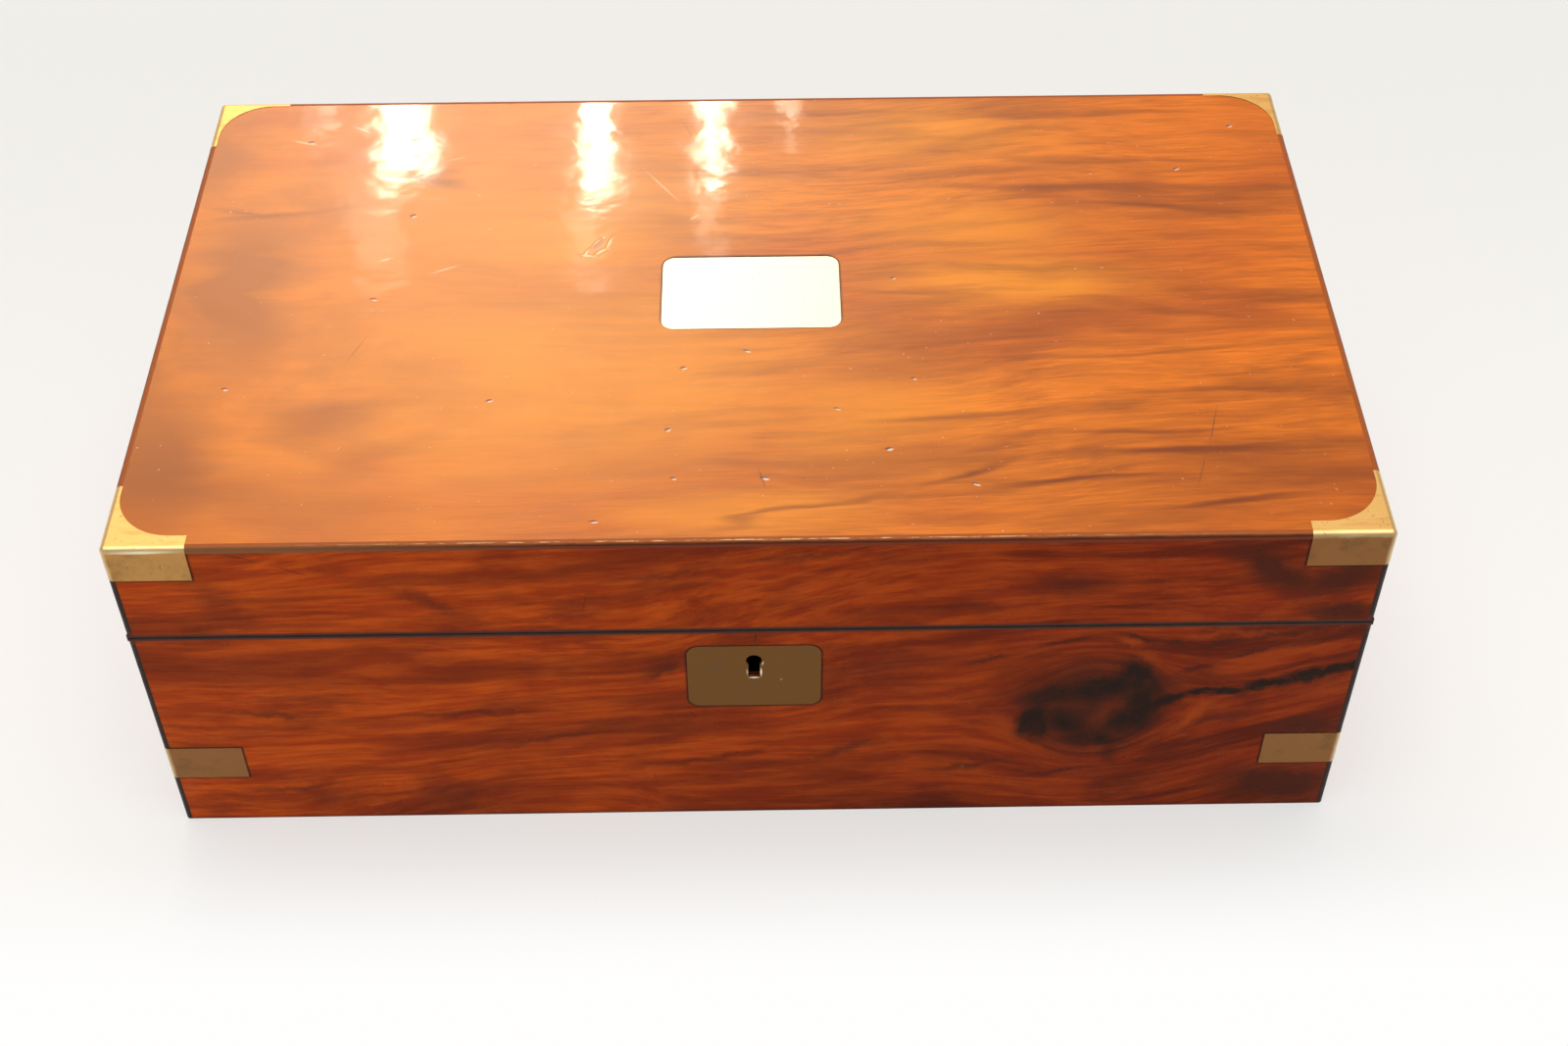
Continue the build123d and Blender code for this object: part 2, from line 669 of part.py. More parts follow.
def inkwell_glass(side):
    """Square glass well with a round bore."""
    body = Box(WELL, WELL, WELL_HEIGHT, align=UPRIGHT)
    body = fillet(body.edges().filter_by(Axis.Z), WELL_EDGE)
    bore = Pos(0, 0, WELL_FLOOR) * Cylinder(WELL_BORE / 2, WELL_HEIGHT, align=UPRIGHT)
    return at_well(side, SHELF_TOP) * (body - bore)


def inkwell_collar(side):
    """Brass collar on the glass, with two lugs for the cap's pin."""
    y, z = CAP_AXIS
    half = CAP_HINGE_LENGTH / 2
    ring = at_well(side, WELL_TOP) * Cylinder(COLLAR / 2, COLLAR_HEIGHT, align=UPRIGHT)
    bore = at_well(side, WELL_TOP) * Cylinder(WELL_BORE / 2, COLLAR_HEIGHT, align=UPRIGHT)
    lugs = Pos(side * WELL_X, 0, 0) * span((-half, half), (y, WELL_Y), (WELL_TOP, COLLAR_TOP))
    gap = Pos(side * WELL_X, 0, 0) * span(
        (-CAP_LUG / 2 - CAP_LUG_GAP, CAP_LUG / 2 + CAP_LUG_GAP),
        (y - CAP_BARREL, y + CAP_BARREL / 2 + CAP_LUG_GAP),
        (z - CAP_BARREL / 2 - CAP_LUG_GAP, FAR),
    )
    collar = ring + lugs + cap_hinge_bar(side, CAP_BARREL, CAP_HINGE_LENGTH)
    return less(collar, [bore, gap, cap_hinge_bar(side, CAP_PIN + 2 * PIN_EASE, CAP_HINGE_LENGTH)])


def inkwell_cap(side):
    """Flat-topped brass cap with a lug that turns between the collar's."""
    rim = CAP_THICK - CAP_BEVEL
    cap = Cylinder(COLLAR / 2, rim, align=UPRIGHT)
    cap = cap + Pos(0, 0, rim) * Cone(COLLAR / 2, CAP_FLAT / 2, CAP_BEVEL, align=UPRIGHT)
    cap = at_well(side, COLLAR_TOP + CAP_GAP) * cap
    y, z = CAP_AXIS
    clear = cap_hinge_bar(side, CAP_BARREL + 2 * CAP_LUG_GAP, CAP_HINGE_LENGTH + 2 * CAP_LUG_GAP)
    lug = span((-CAP_LUG / 2, CAP_LUG / 2), (y, WELL_Y - COLLAR / 4), (z, z + CAP_BARREL / 2))
    cap = (cap - clear) + Pos(side * WELL_X, 0, 0) * lug
    cap = cap + cap_hinge_bar(side, CAP_BARREL, CAP_LUG)
    return cap - cap_hinge_bar(side, CAP_PIN + 2 * PIN_EASE, CAP_LUG)


def inkwell_cap_pins():
    """Pins of the two cap hinges."""
    return [cap_hinge_bar(side, CAP_PIN, CAP_HINGE_LENGTH) for side in SIDES]


# ---------------------------------------------------------------- drawers
DRAWER_X = (PARTITION / 2 + DRAWER_EASE, INNER_X - DRAWER_EASE)
DRAWER_Z = (BOTTOM_BOARD + DRAWER_EASE, BOTTOM_BOARD + DRAWER_EASE + DRAWER_HEIGHT)


def drawer(side):
    """Small open drawer; its front is flush with the divider."""
    x = sorted((side * DRAWER_X[0], side * DRAWER_X[1]))
    y = (INNER_FRONT + DRAWER_BACK_GAP, DIVIDER_BACK)
    inside = span(
        (x[0] + DRAWER_SIDE, x[1] - DRAWER_SIDE),
        (y[0] + DRAWER_SIDE, y[1] - DRAWER_FRONT),
        (DRAWER_Z[0] + DRAWER_FLOOR, FAR),
    )
    return span(x, y, DRAWER_Z) - inside


def drawer_knob(side):
    """Turned knob on the drawer's front."""
    half = [(0, 0)] + list(KNOB_PROFILE) + [(0, KNOB_PROFILE[-1][1])]
    knob = revolve(Plane.XZ * Polygon(*half, align=None), Axis.Z)
    return Pos(side * sum(DRAWER_X) / 2, DIVIDER_BACK, sum(DRAWER_Z) / 2) * Rot(-90, 0, 0) * knob


# ---------------------------------------------------------------- lid
def lid_top():
    """Top board, sunk for the brass corners and the name plate."""
    half_x = WIDTH / 2 - STRING
    half_y = DEPTH / 2 - STRING
    board = span((-half_x, half_x), (-half_y, half_y), (HEIGHT - TOP_BOARD, HEIGHT))
    return less(board, [name_plate(NAME_PLATE_GAP, NAME_PLATE_SINK)] + CORNER_SEATS)


def name_plate(grow=0.0, rise=0.0):
    """Brass name plate; a grown and raised one is the sinking it lies in."""
    length = NAME_PLATE_X + 2 * grow
    width = NAME_PLATE_Y + 2 * grow
    plate = rounded_plate(length, width, NAME_PLATE_CORNER + grow, BRASS + rise)
    return Pos(*NAME_PLATE_SHIFT, HEIGHT - NAME_PLATE_SINK + rise) * plate


def lid_wall(side, extra):
    """One wall of the lid with everything that is let into it taken out."""
    top = span(
        (-WIDTH / 2 + STRING, WIDTH / 2 - STRING),
        (-DEPTH / 2 + STRING, DEPTH / 2 - STRING),
        (HEIGHT - TOP_BOARD, HEIGHT),
    )
    wall = mitred_wall(side, 0, HEIGHT - STRING) & over_seam(RIM + FACING)
    return less(wall, [top] + ARRIS_SQUARES + CORNER_SEATS + extra)


def lid_front():
    """Front wall of the lid, cut for the link plate."""
    return lid_wall("front", [to_lid(cutter) for cutter in [selvedge()] + rim_screws()[-2:]])


def lid_back():
    """Back wall of the lid, cut for the hinges."""
    cuts = [hinge_recess(side) for side in SIDES] + rim_screws()[:-2]
    return lid_wall("back", [to_lid(cutter) for cutter in cuts])


def lid_rim_facing():
    """Four ebonised strips on the rim of the lid."""
    cuts = [to_lid(hinge_recess(side)) for side in SIDES] + [to_lid(selvedge())]
    cuts = cuts + [to_lid(cutter) for cutter in rim_screws()]
    strips = []
    for side in ("front", "right", "back", "left"):
        strip = mitred_wall(side, 0, HEIGHT) & over_seam(RIM)
        strips.append(less(strip - over_seam(RIM + FACING), cuts))
    return strips


def lid_edge_stringing():
    """Ebonised strips in the top and upright arrises, let in under the brass corners."""
    outside = span((-WIDTH / 2, WIDTH / 2), (-DEPTH / 2, DEPTH / 2), (HEIGHT - STRING, HEIGHT))
    inside = span(
        (-WIDTH / 2 + STRING, WIDTH / 2 - STRING),
        (-DEPTH / 2 + STRING, DEPTH / 2 - STRING),
        (0, FAR),
    )
    strips = [(outside - inside) & LID_OUTLINE]
    strips += [square & over_seam(RIM + FACING) & LID_OUTLINE for square in ARRIS_SQUARES]
    return [less(strip, CORNER_SEATS) for strip in strips]


# ---------------------------------------------------------------- every node
def nodes():
    """Each named piece, or group of like pieces, in its place."""
    made = {
        "base_bottom": base_bottom(),
        "base_front": base_front(),
        "base_back": base_back(),
        "base_rim_facing": base_rim_facing(),
        "base_corner_stringing": base_corner_stringing(),
        "keyhole_plate": keyhole_plate(),
        "lock_case": lock_case(),
        "lock_bolt": lock_bolt(),
        "link_plate": link_plate(),
        "link_staples": link_staples(),
        "base_screws": rim_screws(),
        "lid_screws": [to_lid(each) for each in rim_screws()],
        "main_hinge_pins": hinge_pins(),
        "pen_zone_shelf": pen_zone_shelf(),
        "pen_zone_divider": pen_zone_divider(),
        "drawer_partition": drawer_partition(),
        "pen_tray": pen_tray(),
        "inkwell_cap_pins": inkwell_cap_pins(),
        "base_flap_ledges": ledge_strips(DIVIDER_BACK, ledge_layer(), railed=False),
        "upper_flap_board": flap_board(UPPER_FLAP_END),
        "upper_flap_leather": flap_leather(UPPER_FLAP_END),
        "upper_flap_pins": flap_pins(),
        "lower_flap_board": to_lid(flap_board(LOWER_FLAP_END)),
        "lower_flap_leather": to_lid(flap_leather(LOWER_FLAP_END)),
        "lower_flap_pins": [to_lid(pin) for pin in flap_pins()],
        "lid_top": lid_top(),
        "lid_front": lid_front(),
        "lid_back": lid_back(),
        "lid_rim_facing": lid_rim_facing(),
        "lid_edge_stringing": lid_edge_stringing(),
        "lid_flap_ledges": ledge_strips(INNER_FRONT, to_lid(ledge_layer()), railed=True),
        "name_plate": name_plate(),
    }
    for name, strap, corner in zip(CORNERS, STRAP_SEATS, CORNER_SEATS):
        made["base_corner_strap_" + name] = strap & BRASS_OUTLINE
        made["lid_corner_" + name] = corner & BRASS_OUTLINE
    for name, side in (("left", -1), ("right", 1)):
        made["base_" + name] = base_wall(name, flap_pins())
        made["lid_" + name] = lid_wall(name, [to_lid(pin) for pin in flap_pins()])
        made["base_hinge_leaf_" + name] = less(hinge_leaf(side, 0), rim_screws()[:-2])
        lid_leaf = less(hinge_leaf(side, 1), rim_screws()[:-2])
        made["lid_hinge_leaf_" + name] = to_lid(lid_leaf)
        made["ink_bay_partition_" + name] = ink_bay_partition(side)
        made["inkwell_glass_" + name] = inkwell_glass(side)
        made["inkwell_collar_" + name] = inkwell_collar(side)
        made["inkwell_cap_" + name] = inkwell_cap(side)
        made["drawer_" + name] = drawer(side)
        made["drawer_knob_" + name] = drawer_knob(side)
    return made


os.makedirs("parts", exist_ok=True)
for node_name, piece in nodes().items():
    pieces = piece if isinstance(piece, list) else [piece]
    solids = [solid for each in pieces for solid in each.solids()]
    export_step(Compound(solids), f"parts/{node_name}.step")
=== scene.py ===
"""Dressed model of a brass-bound walnut writing slope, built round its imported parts.

Metres, in the frame of the parts: X to the right, Y to the hinged back, Z up.  The box is
closed at rest.  The file follows the box as it is put together.
"""

import math
import random

import bmesh
import bpy
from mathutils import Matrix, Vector


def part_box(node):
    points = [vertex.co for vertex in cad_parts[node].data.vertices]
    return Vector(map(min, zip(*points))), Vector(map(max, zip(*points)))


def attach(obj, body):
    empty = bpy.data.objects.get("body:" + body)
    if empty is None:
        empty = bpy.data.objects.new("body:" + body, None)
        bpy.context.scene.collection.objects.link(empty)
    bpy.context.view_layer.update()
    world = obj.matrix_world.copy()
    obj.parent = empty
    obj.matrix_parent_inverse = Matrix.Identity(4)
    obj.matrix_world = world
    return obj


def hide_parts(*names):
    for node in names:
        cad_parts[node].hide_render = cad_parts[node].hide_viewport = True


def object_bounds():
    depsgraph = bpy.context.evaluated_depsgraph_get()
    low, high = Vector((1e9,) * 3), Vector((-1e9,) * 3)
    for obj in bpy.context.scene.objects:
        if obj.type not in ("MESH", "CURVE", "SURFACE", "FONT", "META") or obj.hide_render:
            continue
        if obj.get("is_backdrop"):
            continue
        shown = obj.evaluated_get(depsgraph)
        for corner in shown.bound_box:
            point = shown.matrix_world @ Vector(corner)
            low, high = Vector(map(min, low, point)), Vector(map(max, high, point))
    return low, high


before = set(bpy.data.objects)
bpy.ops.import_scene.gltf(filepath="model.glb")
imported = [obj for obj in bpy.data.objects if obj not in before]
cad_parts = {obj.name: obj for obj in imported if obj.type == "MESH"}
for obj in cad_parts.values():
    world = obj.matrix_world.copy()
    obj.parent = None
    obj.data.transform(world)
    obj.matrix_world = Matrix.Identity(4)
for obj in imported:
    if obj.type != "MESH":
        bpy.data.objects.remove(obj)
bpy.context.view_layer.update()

# ------------------------ the studio
# A pale floor in soft overhead light.  Narrow warm lamps behind the box are mirrored in the
# polish of its lid as bright upright bars, and a wide soft one as a haze on the back left.
WIDTH, DEPTH, HEIGHT = 0.457, 0.267, 0.157
SCENE = bpy.context.scene
SCENE.view_settings.view_transform = "Standard"


def wire(tree, kind, inputs=None, **settings):
    """One shader node; each of its inputs is given as a value or as the socket that feeds it."""
    node = tree.nodes.new("ShaderNode" + kind)
    for name, value in settings.items():
        setattr(node, name, value)
    for key, value in (inputs or {}).items():
        if isinstance(value, bpy.types.NodeSocket):
            tree.links.new(value, node.inputs[key])
        else:
            node.inputs[key].default_value = value
    return node


def new_material(name):
    """An empty node material, as the material and its node tree."""
    material = bpy.data.materials.new(name)
    material.use_nodes = True
    material.node_tree.nodes.clear()
    return material, material.node_tree


def new_piece(name, bm, material, smooth=False):
    """A mesh piece from a bmesh, in the frame of the parts."""
    bmesh.ops.recalc_face_normals(bm, faces=bm.faces)
    mesh = bpy.data.meshes.new(name)
    bm.to_mesh(mesh)
    bm.free()
    for face in mesh.polygons:
        face.use_smooth = smooth
    piece = bpy.data.objects.new(name, mesh)
    SCENE.collection.objects.link(piece)
    mesh.materials.append(material)
    return piece


def maths(tree, operation, first, second=0.0):
    """One step of arithmetic on numbers."""
    return wire(tree, "Math", {0: first, 1: second}, operation=operation).outputs[0]


def vectors(tree, operation, first, second=(0, 0, 0)):
    """One step of arithmetic on vectors; lengths and dot products come out as numbers."""
    node = wire(tree, "VectorMath", {0: first, 1: second}, operation=operation)
    return node.outputs["Value" if operation in ("LENGTH", "DOT_PRODUCT") else "Vector"]


def arithmetic(operation):
    """A helper that does one kind of arithmetic on two numbers."""
    return lambda tree, first, second: maths(tree, operation, first, second)


times, larger = arithmetic("MULTIPLY"), arithmetic("MAXIMUM")


def fade(tree, value, low, high, start=0.0, end=1.0):
    """Goes smoothly from start to end as the value goes from low to high."""
    return wire(tree, "MapRange", {
        "Value": value, "From Min": low, "From Max": high, "To Min": start, "To Max": end,
    }, interpolation_type="SMOOTHSTEP").outputs["Result"]


def tint(tree, share, under, over, blend="MIX"):
    """Lays one colour over another by a share."""
    sockets = {0: share, 6: under, 7: over}   # a mix of colours has its factor at 0, its A at 6
    return wire(tree, "Mix", sockets, data_type="RGBA", blend_type=blend).outputs[2]


def noise(tree, place, scale, detail=2.0, rough=0.5):
    """Soft random pattern between 0 and 1."""
    return wire(tree, "TexNoise", {
        "Vector": place, "Scale": scale, "Detail": detail, "Roughness": rough}).outputs["Fac"]


def own_place(tree):
    """Place on the part in metres, in its frame."""
    return wire(tree, "TexCoord").outputs["Object"]


def parts_of(tree, vector):
    """The X, Y and Z of a place or direction."""
    return wire(tree, "SeparateXYZ", {"Vector": vector}).outputs


def bumped(tree, relief, strength, depth):
    """The surface's direction with a relief of a depth in metres on it."""
    return wire(tree, "Bump", {
        "Height": relief, "Strength": strength, "Distance": depth}).outputs["Normal"]


EYE = Vector((0.00601, -0.66446, 0.71557))
EYE_TURN = (44.0288, 0.1937, -0.8497)         # degrees
FOCAL_LENGTH, SENSOR_WIDTH = 50.38, 36.0      # millimetres
camera_data = bpy.data.cameras.new("camera")
camera_data.lens = FOCAL_LENGTH
camera_data.sensor_width = SENSOR_WIDTH
camera_data.clip_start = 0.01
camera_data.clip_end = 50.0
camera = bpy.data.objects.new("camera", camera_data)
camera.location = EYE
camera.rotation_euler = [math.radians(angle) for angle in EYE_TURN]
SCENE.collection.objects.link(camera)
SCENE.camera = camera

# the floor's own colour is mixed with plain white for the eye and for mirrors, most at the front
FLOOR_SIZE = 9.0
FLOOR_CELLS = 12
FLOOR_WHITE = (0.50, 1.0)      # share of white beside the box and well in front of it
WHITE_FADE = (-0.145, -0.215)  # where that share rises, forward of the middle of the box
TONE_FADE = (0.45, -0.20)      # where the white itself goes from its back to its front tone
BACK_WHITE = (0.79, 0.78, 0.76, 1)
FRONT_WHITE = (1.0, 0.995, 0.985, 1)
PAPER = (0.93, 0.935, 0.925, 1)
floor_material, tree = new_material("pale_paper_floor")
spot = own_place(tree)
paper = wire(tree, "BsdfPrincipled", {
    "Base Color": PAPER, "Roughness": 0.9, "Specular IOR Level": 0.1,
    "Normal": bumped(tree, noise(tree, spot, 900.0), 0.05, 0.0005)})
forward = parts_of(tree, spot)["Y"]
bare = wire(tree, "Emission", {
    "Color": tint(tree, fade(tree, forward, *TONE_FADE), BACK_WHITE, FRONT_WHITE), "Strength": 1.0})
rays = wire(tree, "LightPath").outputs
seen = larger(tree, rays["Is Camera Ray"],
              larger(tree, rays["Is Glossy Ray"], rays["Is Transmission Ray"]))
share = times(tree, seen, fade(tree, forward, *WHITE_FADE, *FLOOR_WHITE))
both = wire(tree, "MixShader", {0: share, 1: paper.outputs["BSDF"], 2: bare.outputs["Emission"]})
wire(tree, "OutputMaterial", {"Surface": both.outputs["Shader"]})
bm = bmesh.new()
bmesh.ops.create_grid(bm, x_segments=FLOOR_CELLS, y_segments=FLOOR_CELLS, size=FLOOR_SIZE / 2)
floor = new_piece("studio_floor", bm, floor_material)
floor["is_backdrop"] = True

# brightness of the room by the sine of the height above the horizon, and a wide warm glow behind
# the box that the polish of the lid shows as a haze
ROOM = ((0.0, 0.80), (0.35, 0.32), (0.74, 0.24), (1.0, 2.90))
ROOM_TOP = 2.9
ROOM_TONE = (1.0, 0.985, 0.96)
GLOW_WAY = (-0.13, 0.80, 0.58)
GLOW_FALL = 60.0
GLOW = (3.9, 3.35, 2.6)
world = bpy.data.worlds.new("soft_room")
SCENE.world = world
world.use_nodes = True
tree = world.node_tree
tree.nodes.clear()
way = wire(tree, "TexCoord").outputs["Generated"]
height = parts_of(tree, way)["Z"]
steps = wire(tree, "ValToRGB", {"Fac": height})
ramp = steps.color_ramp
while len(ramp.elements) < len(ROOM):
    ramp.elements.new(0.5)
for stop, (place, level) in zip(ramp.elements, ROOM):
    stop.position = place
    stop.color = [tone * level / ROOM_TOP for tone in ROOM_TONE] + [1]
lobe = vectors(tree, "DOT_PRODUCT", way, Vector(GLOW_WAY).normalized())
lobe = maths(tree, "POWER", larger(tree, lobe, 0.0), GLOW_FALL)
glow = tint(tree, lobe, (0, 0, 0, 1), [level / ROOM_TOP for level in GLOW] + [1])
room = tint(tree, 1.0, steps.outputs["Color"], glow, "ADD")
sky = wire(tree, "Background", {"Color": room, "Strength": ROOM_TOP})
wire(tree, "OutputWorld", {"Surface": sky.outputs["Background"]})


def lamp(name, place, aim, size, strength, colour):
    """A soft rectangular lamp; strength is its brightness, the same from any distance."""
    data = bpy.data.lights.new(name, "AREA")
    data.shape = "RECTANGLE"
    data.size, data.size_y = size
    data.energy = strength * size[0] * size[1] * math.pi
    data.color = colour
    lit = bpy.data.objects.new(name, data)
    lit.location = place
    lit.rotation_euler = (Vector(aim) - Vector(place)).to_track_quat("-Z", "Y").to_euler()
    SCENE.collection.objects.link(lit)


LAMP_WALL = 2.2     # distance of the upright lamps behind the middle of the box
WARM = (1.0, 0.86, 0.66)
# each bar of light in the polish: place across the lid, width, and its stretches down the lid,
# each with its near end, its far end, its brightness and its share of the width
LID_BARS = (
    (-0.187, 0.008, ((0.122, 0.180, 8.0, 1.0), (0.098, 0.122, 2.5, 0.7))),
    (-0.151, 0.020, ((0.096, 0.180, 30.0, 1.0), (0.080, 0.096, 26.0, 0.6),
                     (0.066, 0.080, 12.0, 0.35), (0.018, 0.066, 2.4, 0.9))),
    (-0.066, 0.013, ((0.078, 0.180, 32.0, 1.0), (0.062, 0.078, 20.0, 0.5),
                     (0.016, 0.062, 3.2, 0.9))),
    (-0.016, 0.010, ((0.086, 0.180, 32.0, 1.0), (0.070, 0.086, 12.0, 0.6),
                     (0.030, 0.070, 4.0, 0.9))),
    (0.019, 0.006, ((0.124, 0.180, 12.0, 1.0), (0.096, 0.124, 4.0, 0.8))),
)


def mirrored(x, y):
    """The point of the lamp wall that a level mirror on the lid at x, y shows to the camera."""
    there = Vector((x, y, HEIGHT)) - EYE
    there.z = -there.z
    return Vector((x, y, HEIGHT)) + there * ((LAMP_WALL - y) / there.y)


for number, (x, width, stretches) in enumerate(LID_BARS):
    for part, (near, far, strength, share) in enumerate(stretches):
        top, low = mirrored(x, near), mirrored(x, far)
        half = share * width / 2
        across = (mirrored(x + half, near) - mirrored(x - half, near)).length
        lamp(f"bar_lamp_{number}_{part}", (top + low) / 2, (x, (near + far) / 2, HEIGHT),
             (across, (top - low).length), strength, WARM)

# ------------------------ outer walls of the base
# Four mitred boards of walnut, French polished, with figured veneer on the front, and a plain
# bottom board let up into them.  The front's figure runs on over the joint into the lid.
FRONT_Y = -DEPTH / 2
# the walls' walnut is written much darker than the lid top's: partly painted shade, since the
# upright walls stood in shade while the lid was lit, and partly a lid faded by the sun
FRONT_NIGHT = (0.022, 0.008, 0.004, 1)
FRONT_BROWN = (0.085, 0.014, 0.004, 1)
FRONT_DARK = (0.170, 0.019, 0.002, 1)
FRONT_MID = (0.455, 0.050, 0.002, 1)
FRONT_FLASH = (0.645, 0.098, 0.005, 1)
FRONT_DUSK = (0.60, 0.51, 0.60, 1)       # what darkens the right-hand end
KNOT_FLAME = (0.380, 0.054, 0.004, 1)
KNOT_BROWN = (0.065, 0.013, 0.004, 1)
KNOT_HEART = (0.150, 0.022, 0.004, 1)
CRACK_BLACK = (0.02, 0.008, 0.006, 1)
SETTING_BLACK = (0.02, 0.007, 0.004, 1)  # dirt round the brass that is let in
BORE_SHADE_BLACK = (0.004, 0.002, 0.001, 1)    # painted shade in the keyhole's bore
ARRIS_BROWN = (0.035, 0.012, 0.007, 1)
GRIT_TAN = (0.45, 0.26, 0.14, 1)
KNOT = (0.130, FRONT_Y, 0.063)
KNOT_RADIUS = 0.027
VENEER_CUT = 0.31                        # where in the log the front's veneer is sawn
DIRT_LINE = (0.0002, 0.0013)             # where the dirt round the brass fades out


def new_group(name, inputs, outputs):
    """An empty shader node group, with the sockets of its input node and its output node."""
    tree = bpy.data.node_groups.new(name, "ShaderNodeTree")
    for label, kind, start in inputs:
        socket = tree.interface.new_socket(label, in_out="INPUT", socket_type="NodeSocket" + kind)
        socket.default_value = start
    for label, kind in outputs:
        tree.interface.new_socket(label, in_out="OUTPUT", socket_type="NodeSocket" + kind)
    return tree, tree.nodes.new("NodeGroupInput").outputs, tree.nodes.new("NodeGroupOutput")


plus, minus, smaller = arithmetic("ADD"), arithmetic("SUBTRACT"), arithmetic("MINIMUM")


def scaled(tree, place, scale):
    """A place with each of its parts multiplied."""
    return vectors(tree, "MULTIPLY", place, scale)


def stretched(tree, place, scale, detail=2.0, rough=0.5):
    """Soft random pattern drawn out by its own scale along each axis."""
    return noise(tree, scaled(tree, place, scale), 1.0, detail, rough)


def joined(tree, x, y, z):
    """A place from its X, Y and Z."""
    return wire(tree, "CombineXYZ", {"X": x, "Y": y, "Z": z}).outputs["Vector"]


def painted(tree, colour, mask, share, paint):
    """A colour with paint laid over it where a mask says, as thickly as the share says."""
    return tint(tree, times(tree, mask, share), colour, paint)


def put_out(tree, output, values):
    """Feeds the group's output sockets by name."""
    for label, value in values.items():
        tree.links.new(value, output.inputs[label])


# grain of a board cut along X: streaks of heart wood, fine lines, pores and slow clouds
figure, given, out = new_group(
    "wood_figure",
    (("Place", "Vector", (0, 0, 0)), ("Along", "Float", 3.5), ("Across", "Float", 45.0),
     ("Wander", "Float", 0.012)),
    (("Streaks", "Float"), ("Lines", "Float"), ("Pores", "Float"), ("Clouds", "Float")),
)
slow = scaled(figure, given["Place"], (5.0, 9.0, 9.0))
drift = times(figure, minus(figure, noise(figure, slow, 1.0), 0.5),
              times(figure, given["Wander"], 2.0))
axes = parts_of(figure, given["Place"])
level = times(figure, plus(figure, axes["Z"], drift), given["Across"])
depth = times(figure, plus(figure, axes["Y"], drift), given["Across"])
length = times(figure, axes["X"], given["Along"])
drawn = joined(figure, length, depth, level)
put_out(figure, out, {
    "Streaks": fade(figure, noise(figure, drawn, 1.0, 5.0, 0.60), 0.45, 0.66),
    "Lines": stretched(figure, drawn, (4.5, 8.0, 8.0), 4.0, 0.6),
    "Pores": fade(figure, stretched(figure, given["Place"], (120.0, 2300.0, 2300.0), 1.0),
                  0.60, 0.72),
    "Clouds": stretched(figure, given["Place"], (7.0, 15.0, 15.0), 3.0),
})


PEAK = 1.3     # over 1, so that a mark of full strength is even along its middle


def marked(tree, place, marks):
    """Greatest mask of several long soft marks that fade to their ends and edges, such as veins,
    scratches and dents.  Each is given as its two ends, its width and its strength."""
    total = None
    for start, end, width, strength in marks:
        run = Vector(end) - Vector(start)
        lying = wire(tree, "Mapping", {
            "Vector": place, "Location": (Vector(start) + Vector(end)) / 2,
            "Rotation": Vector((1, 0, 0)).rotation_difference(run).to_euler(),
            "Scale": (0.5 * run.length + 0.5 * width, 0.6 * width, 0.6 * width),
        }, vector_type="TEXTURE")
        away = vectors(tree, "LENGTH", lying.outputs["Vector"])
        one = fade(tree, away, 0.0, 1.0, PEAK * strength, 0.0)
        total = one if total is None else larger(tree, total, one)
    return smaller(tree, total, 1.0)


def on_front(tree, place, *lines):
    """Mask of marks on the front: x and z of both ends in millimetres, width and strength."""
    return marked(tree, place, [
        ((x0 / 1000, FRONT_Y, z0 / 1000), (x1 / 1000, FRONT_Y, z1 / 1000), width / 1000, strength)
        for x0, z0, x1, z1, width, strength in lines])


# nearness to the arrises of a box: the middle one of the distances to its three pairs of faces
arris, given, out = new_group(
    "arris_nearness",
    (("Place", "Vector", (0, 0, 0)), ("Reach", "Float", 0.004), ("Ragged", "Float", 0.006)),
    (("Mask", "Float"),),
)
centre = vectors(arris, "SUBTRACT", given["Place"], (0, 0, HEIGHT / 2))
inset = vectors(arris, "SUBTRACT", (WIDTH / 2, DEPTH / 2, HEIGHT / 2),
                vectors(arris, "ABSOLUTE", centre))
sides = parts_of(arris, inset)
nearer = smaller(arris, sides["X"], sides["Y"])
farther = larger(arris, sides["X"], sides["Y"])
median = larger(arris, nearer, smaller(arris, farther, sides["Z"]))
uneven = minus(arris, noise(arris, given["Place"], 140.0, 4.0), 0.5)
ragged = plus(arris, median, times(arris, uneven, given["Ragged"]))
put_out(arris, out, {"Mask": fade(arris, ragged, 0.0, given["Reach"], 1.0, 0.0)})


def near_arris(tree, place, reach, ragged=0.006):
    """Mask of what lies within a reach of the box's arrises, with a ragged border."""
    return wire(tree, "Group", {"Place": place, "Reach": reach, "Ragged": ragged},
                node_tree=arris).outputs["Mask"]


# dark line of polish and dust round a piece let into the wood: near the outline of an oblong with
# rounded corners, seen square to it
sinking, given, out = new_group(
    "let_in_outline",
    (("Place", "Vector", (0, 0, 0)), ("Middle", "Vector", (0, 0, 0)), ("Core", "Vector", (1, 1, 1)),
     ("Corner", "Float", 0.006)),
    (("Mask", "Float"),),
)
spread = vectors(sinking, "ABSOLUTE", vectors(sinking, "SUBTRACT", given["Place"], given["Middle"]))
outside = vectors(sinking, "MAXIMUM", vectors(
    sinking, "SUBTRACT", spread, given["Core"]), (0, 0, 0))
beyond = minus(sinking, vectors(sinking, "LENGTH", outside), given["Corner"])
put_out(sinking, out, {"Mask": fade(sinking, beyond, *DIRT_LINE, 1.0, 0.0)})


def let_in(tree, place, node, corner, square_to):
    """The dark line round a let-in part; square_to is the axis that it is seen along."""
    low, high = [Vector(point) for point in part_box(node)]
    core = (high - low) / 2 - Vector((corner, corner, corner))
    core["XYZ".index(square_to)] = 1.0
    return wire(tree, "Group", {
        "Place": place, "Middle": (low + high) / 2, "Core": core, "Corner": corner,
    }, node_tree=sinking).outputs["Mask"]


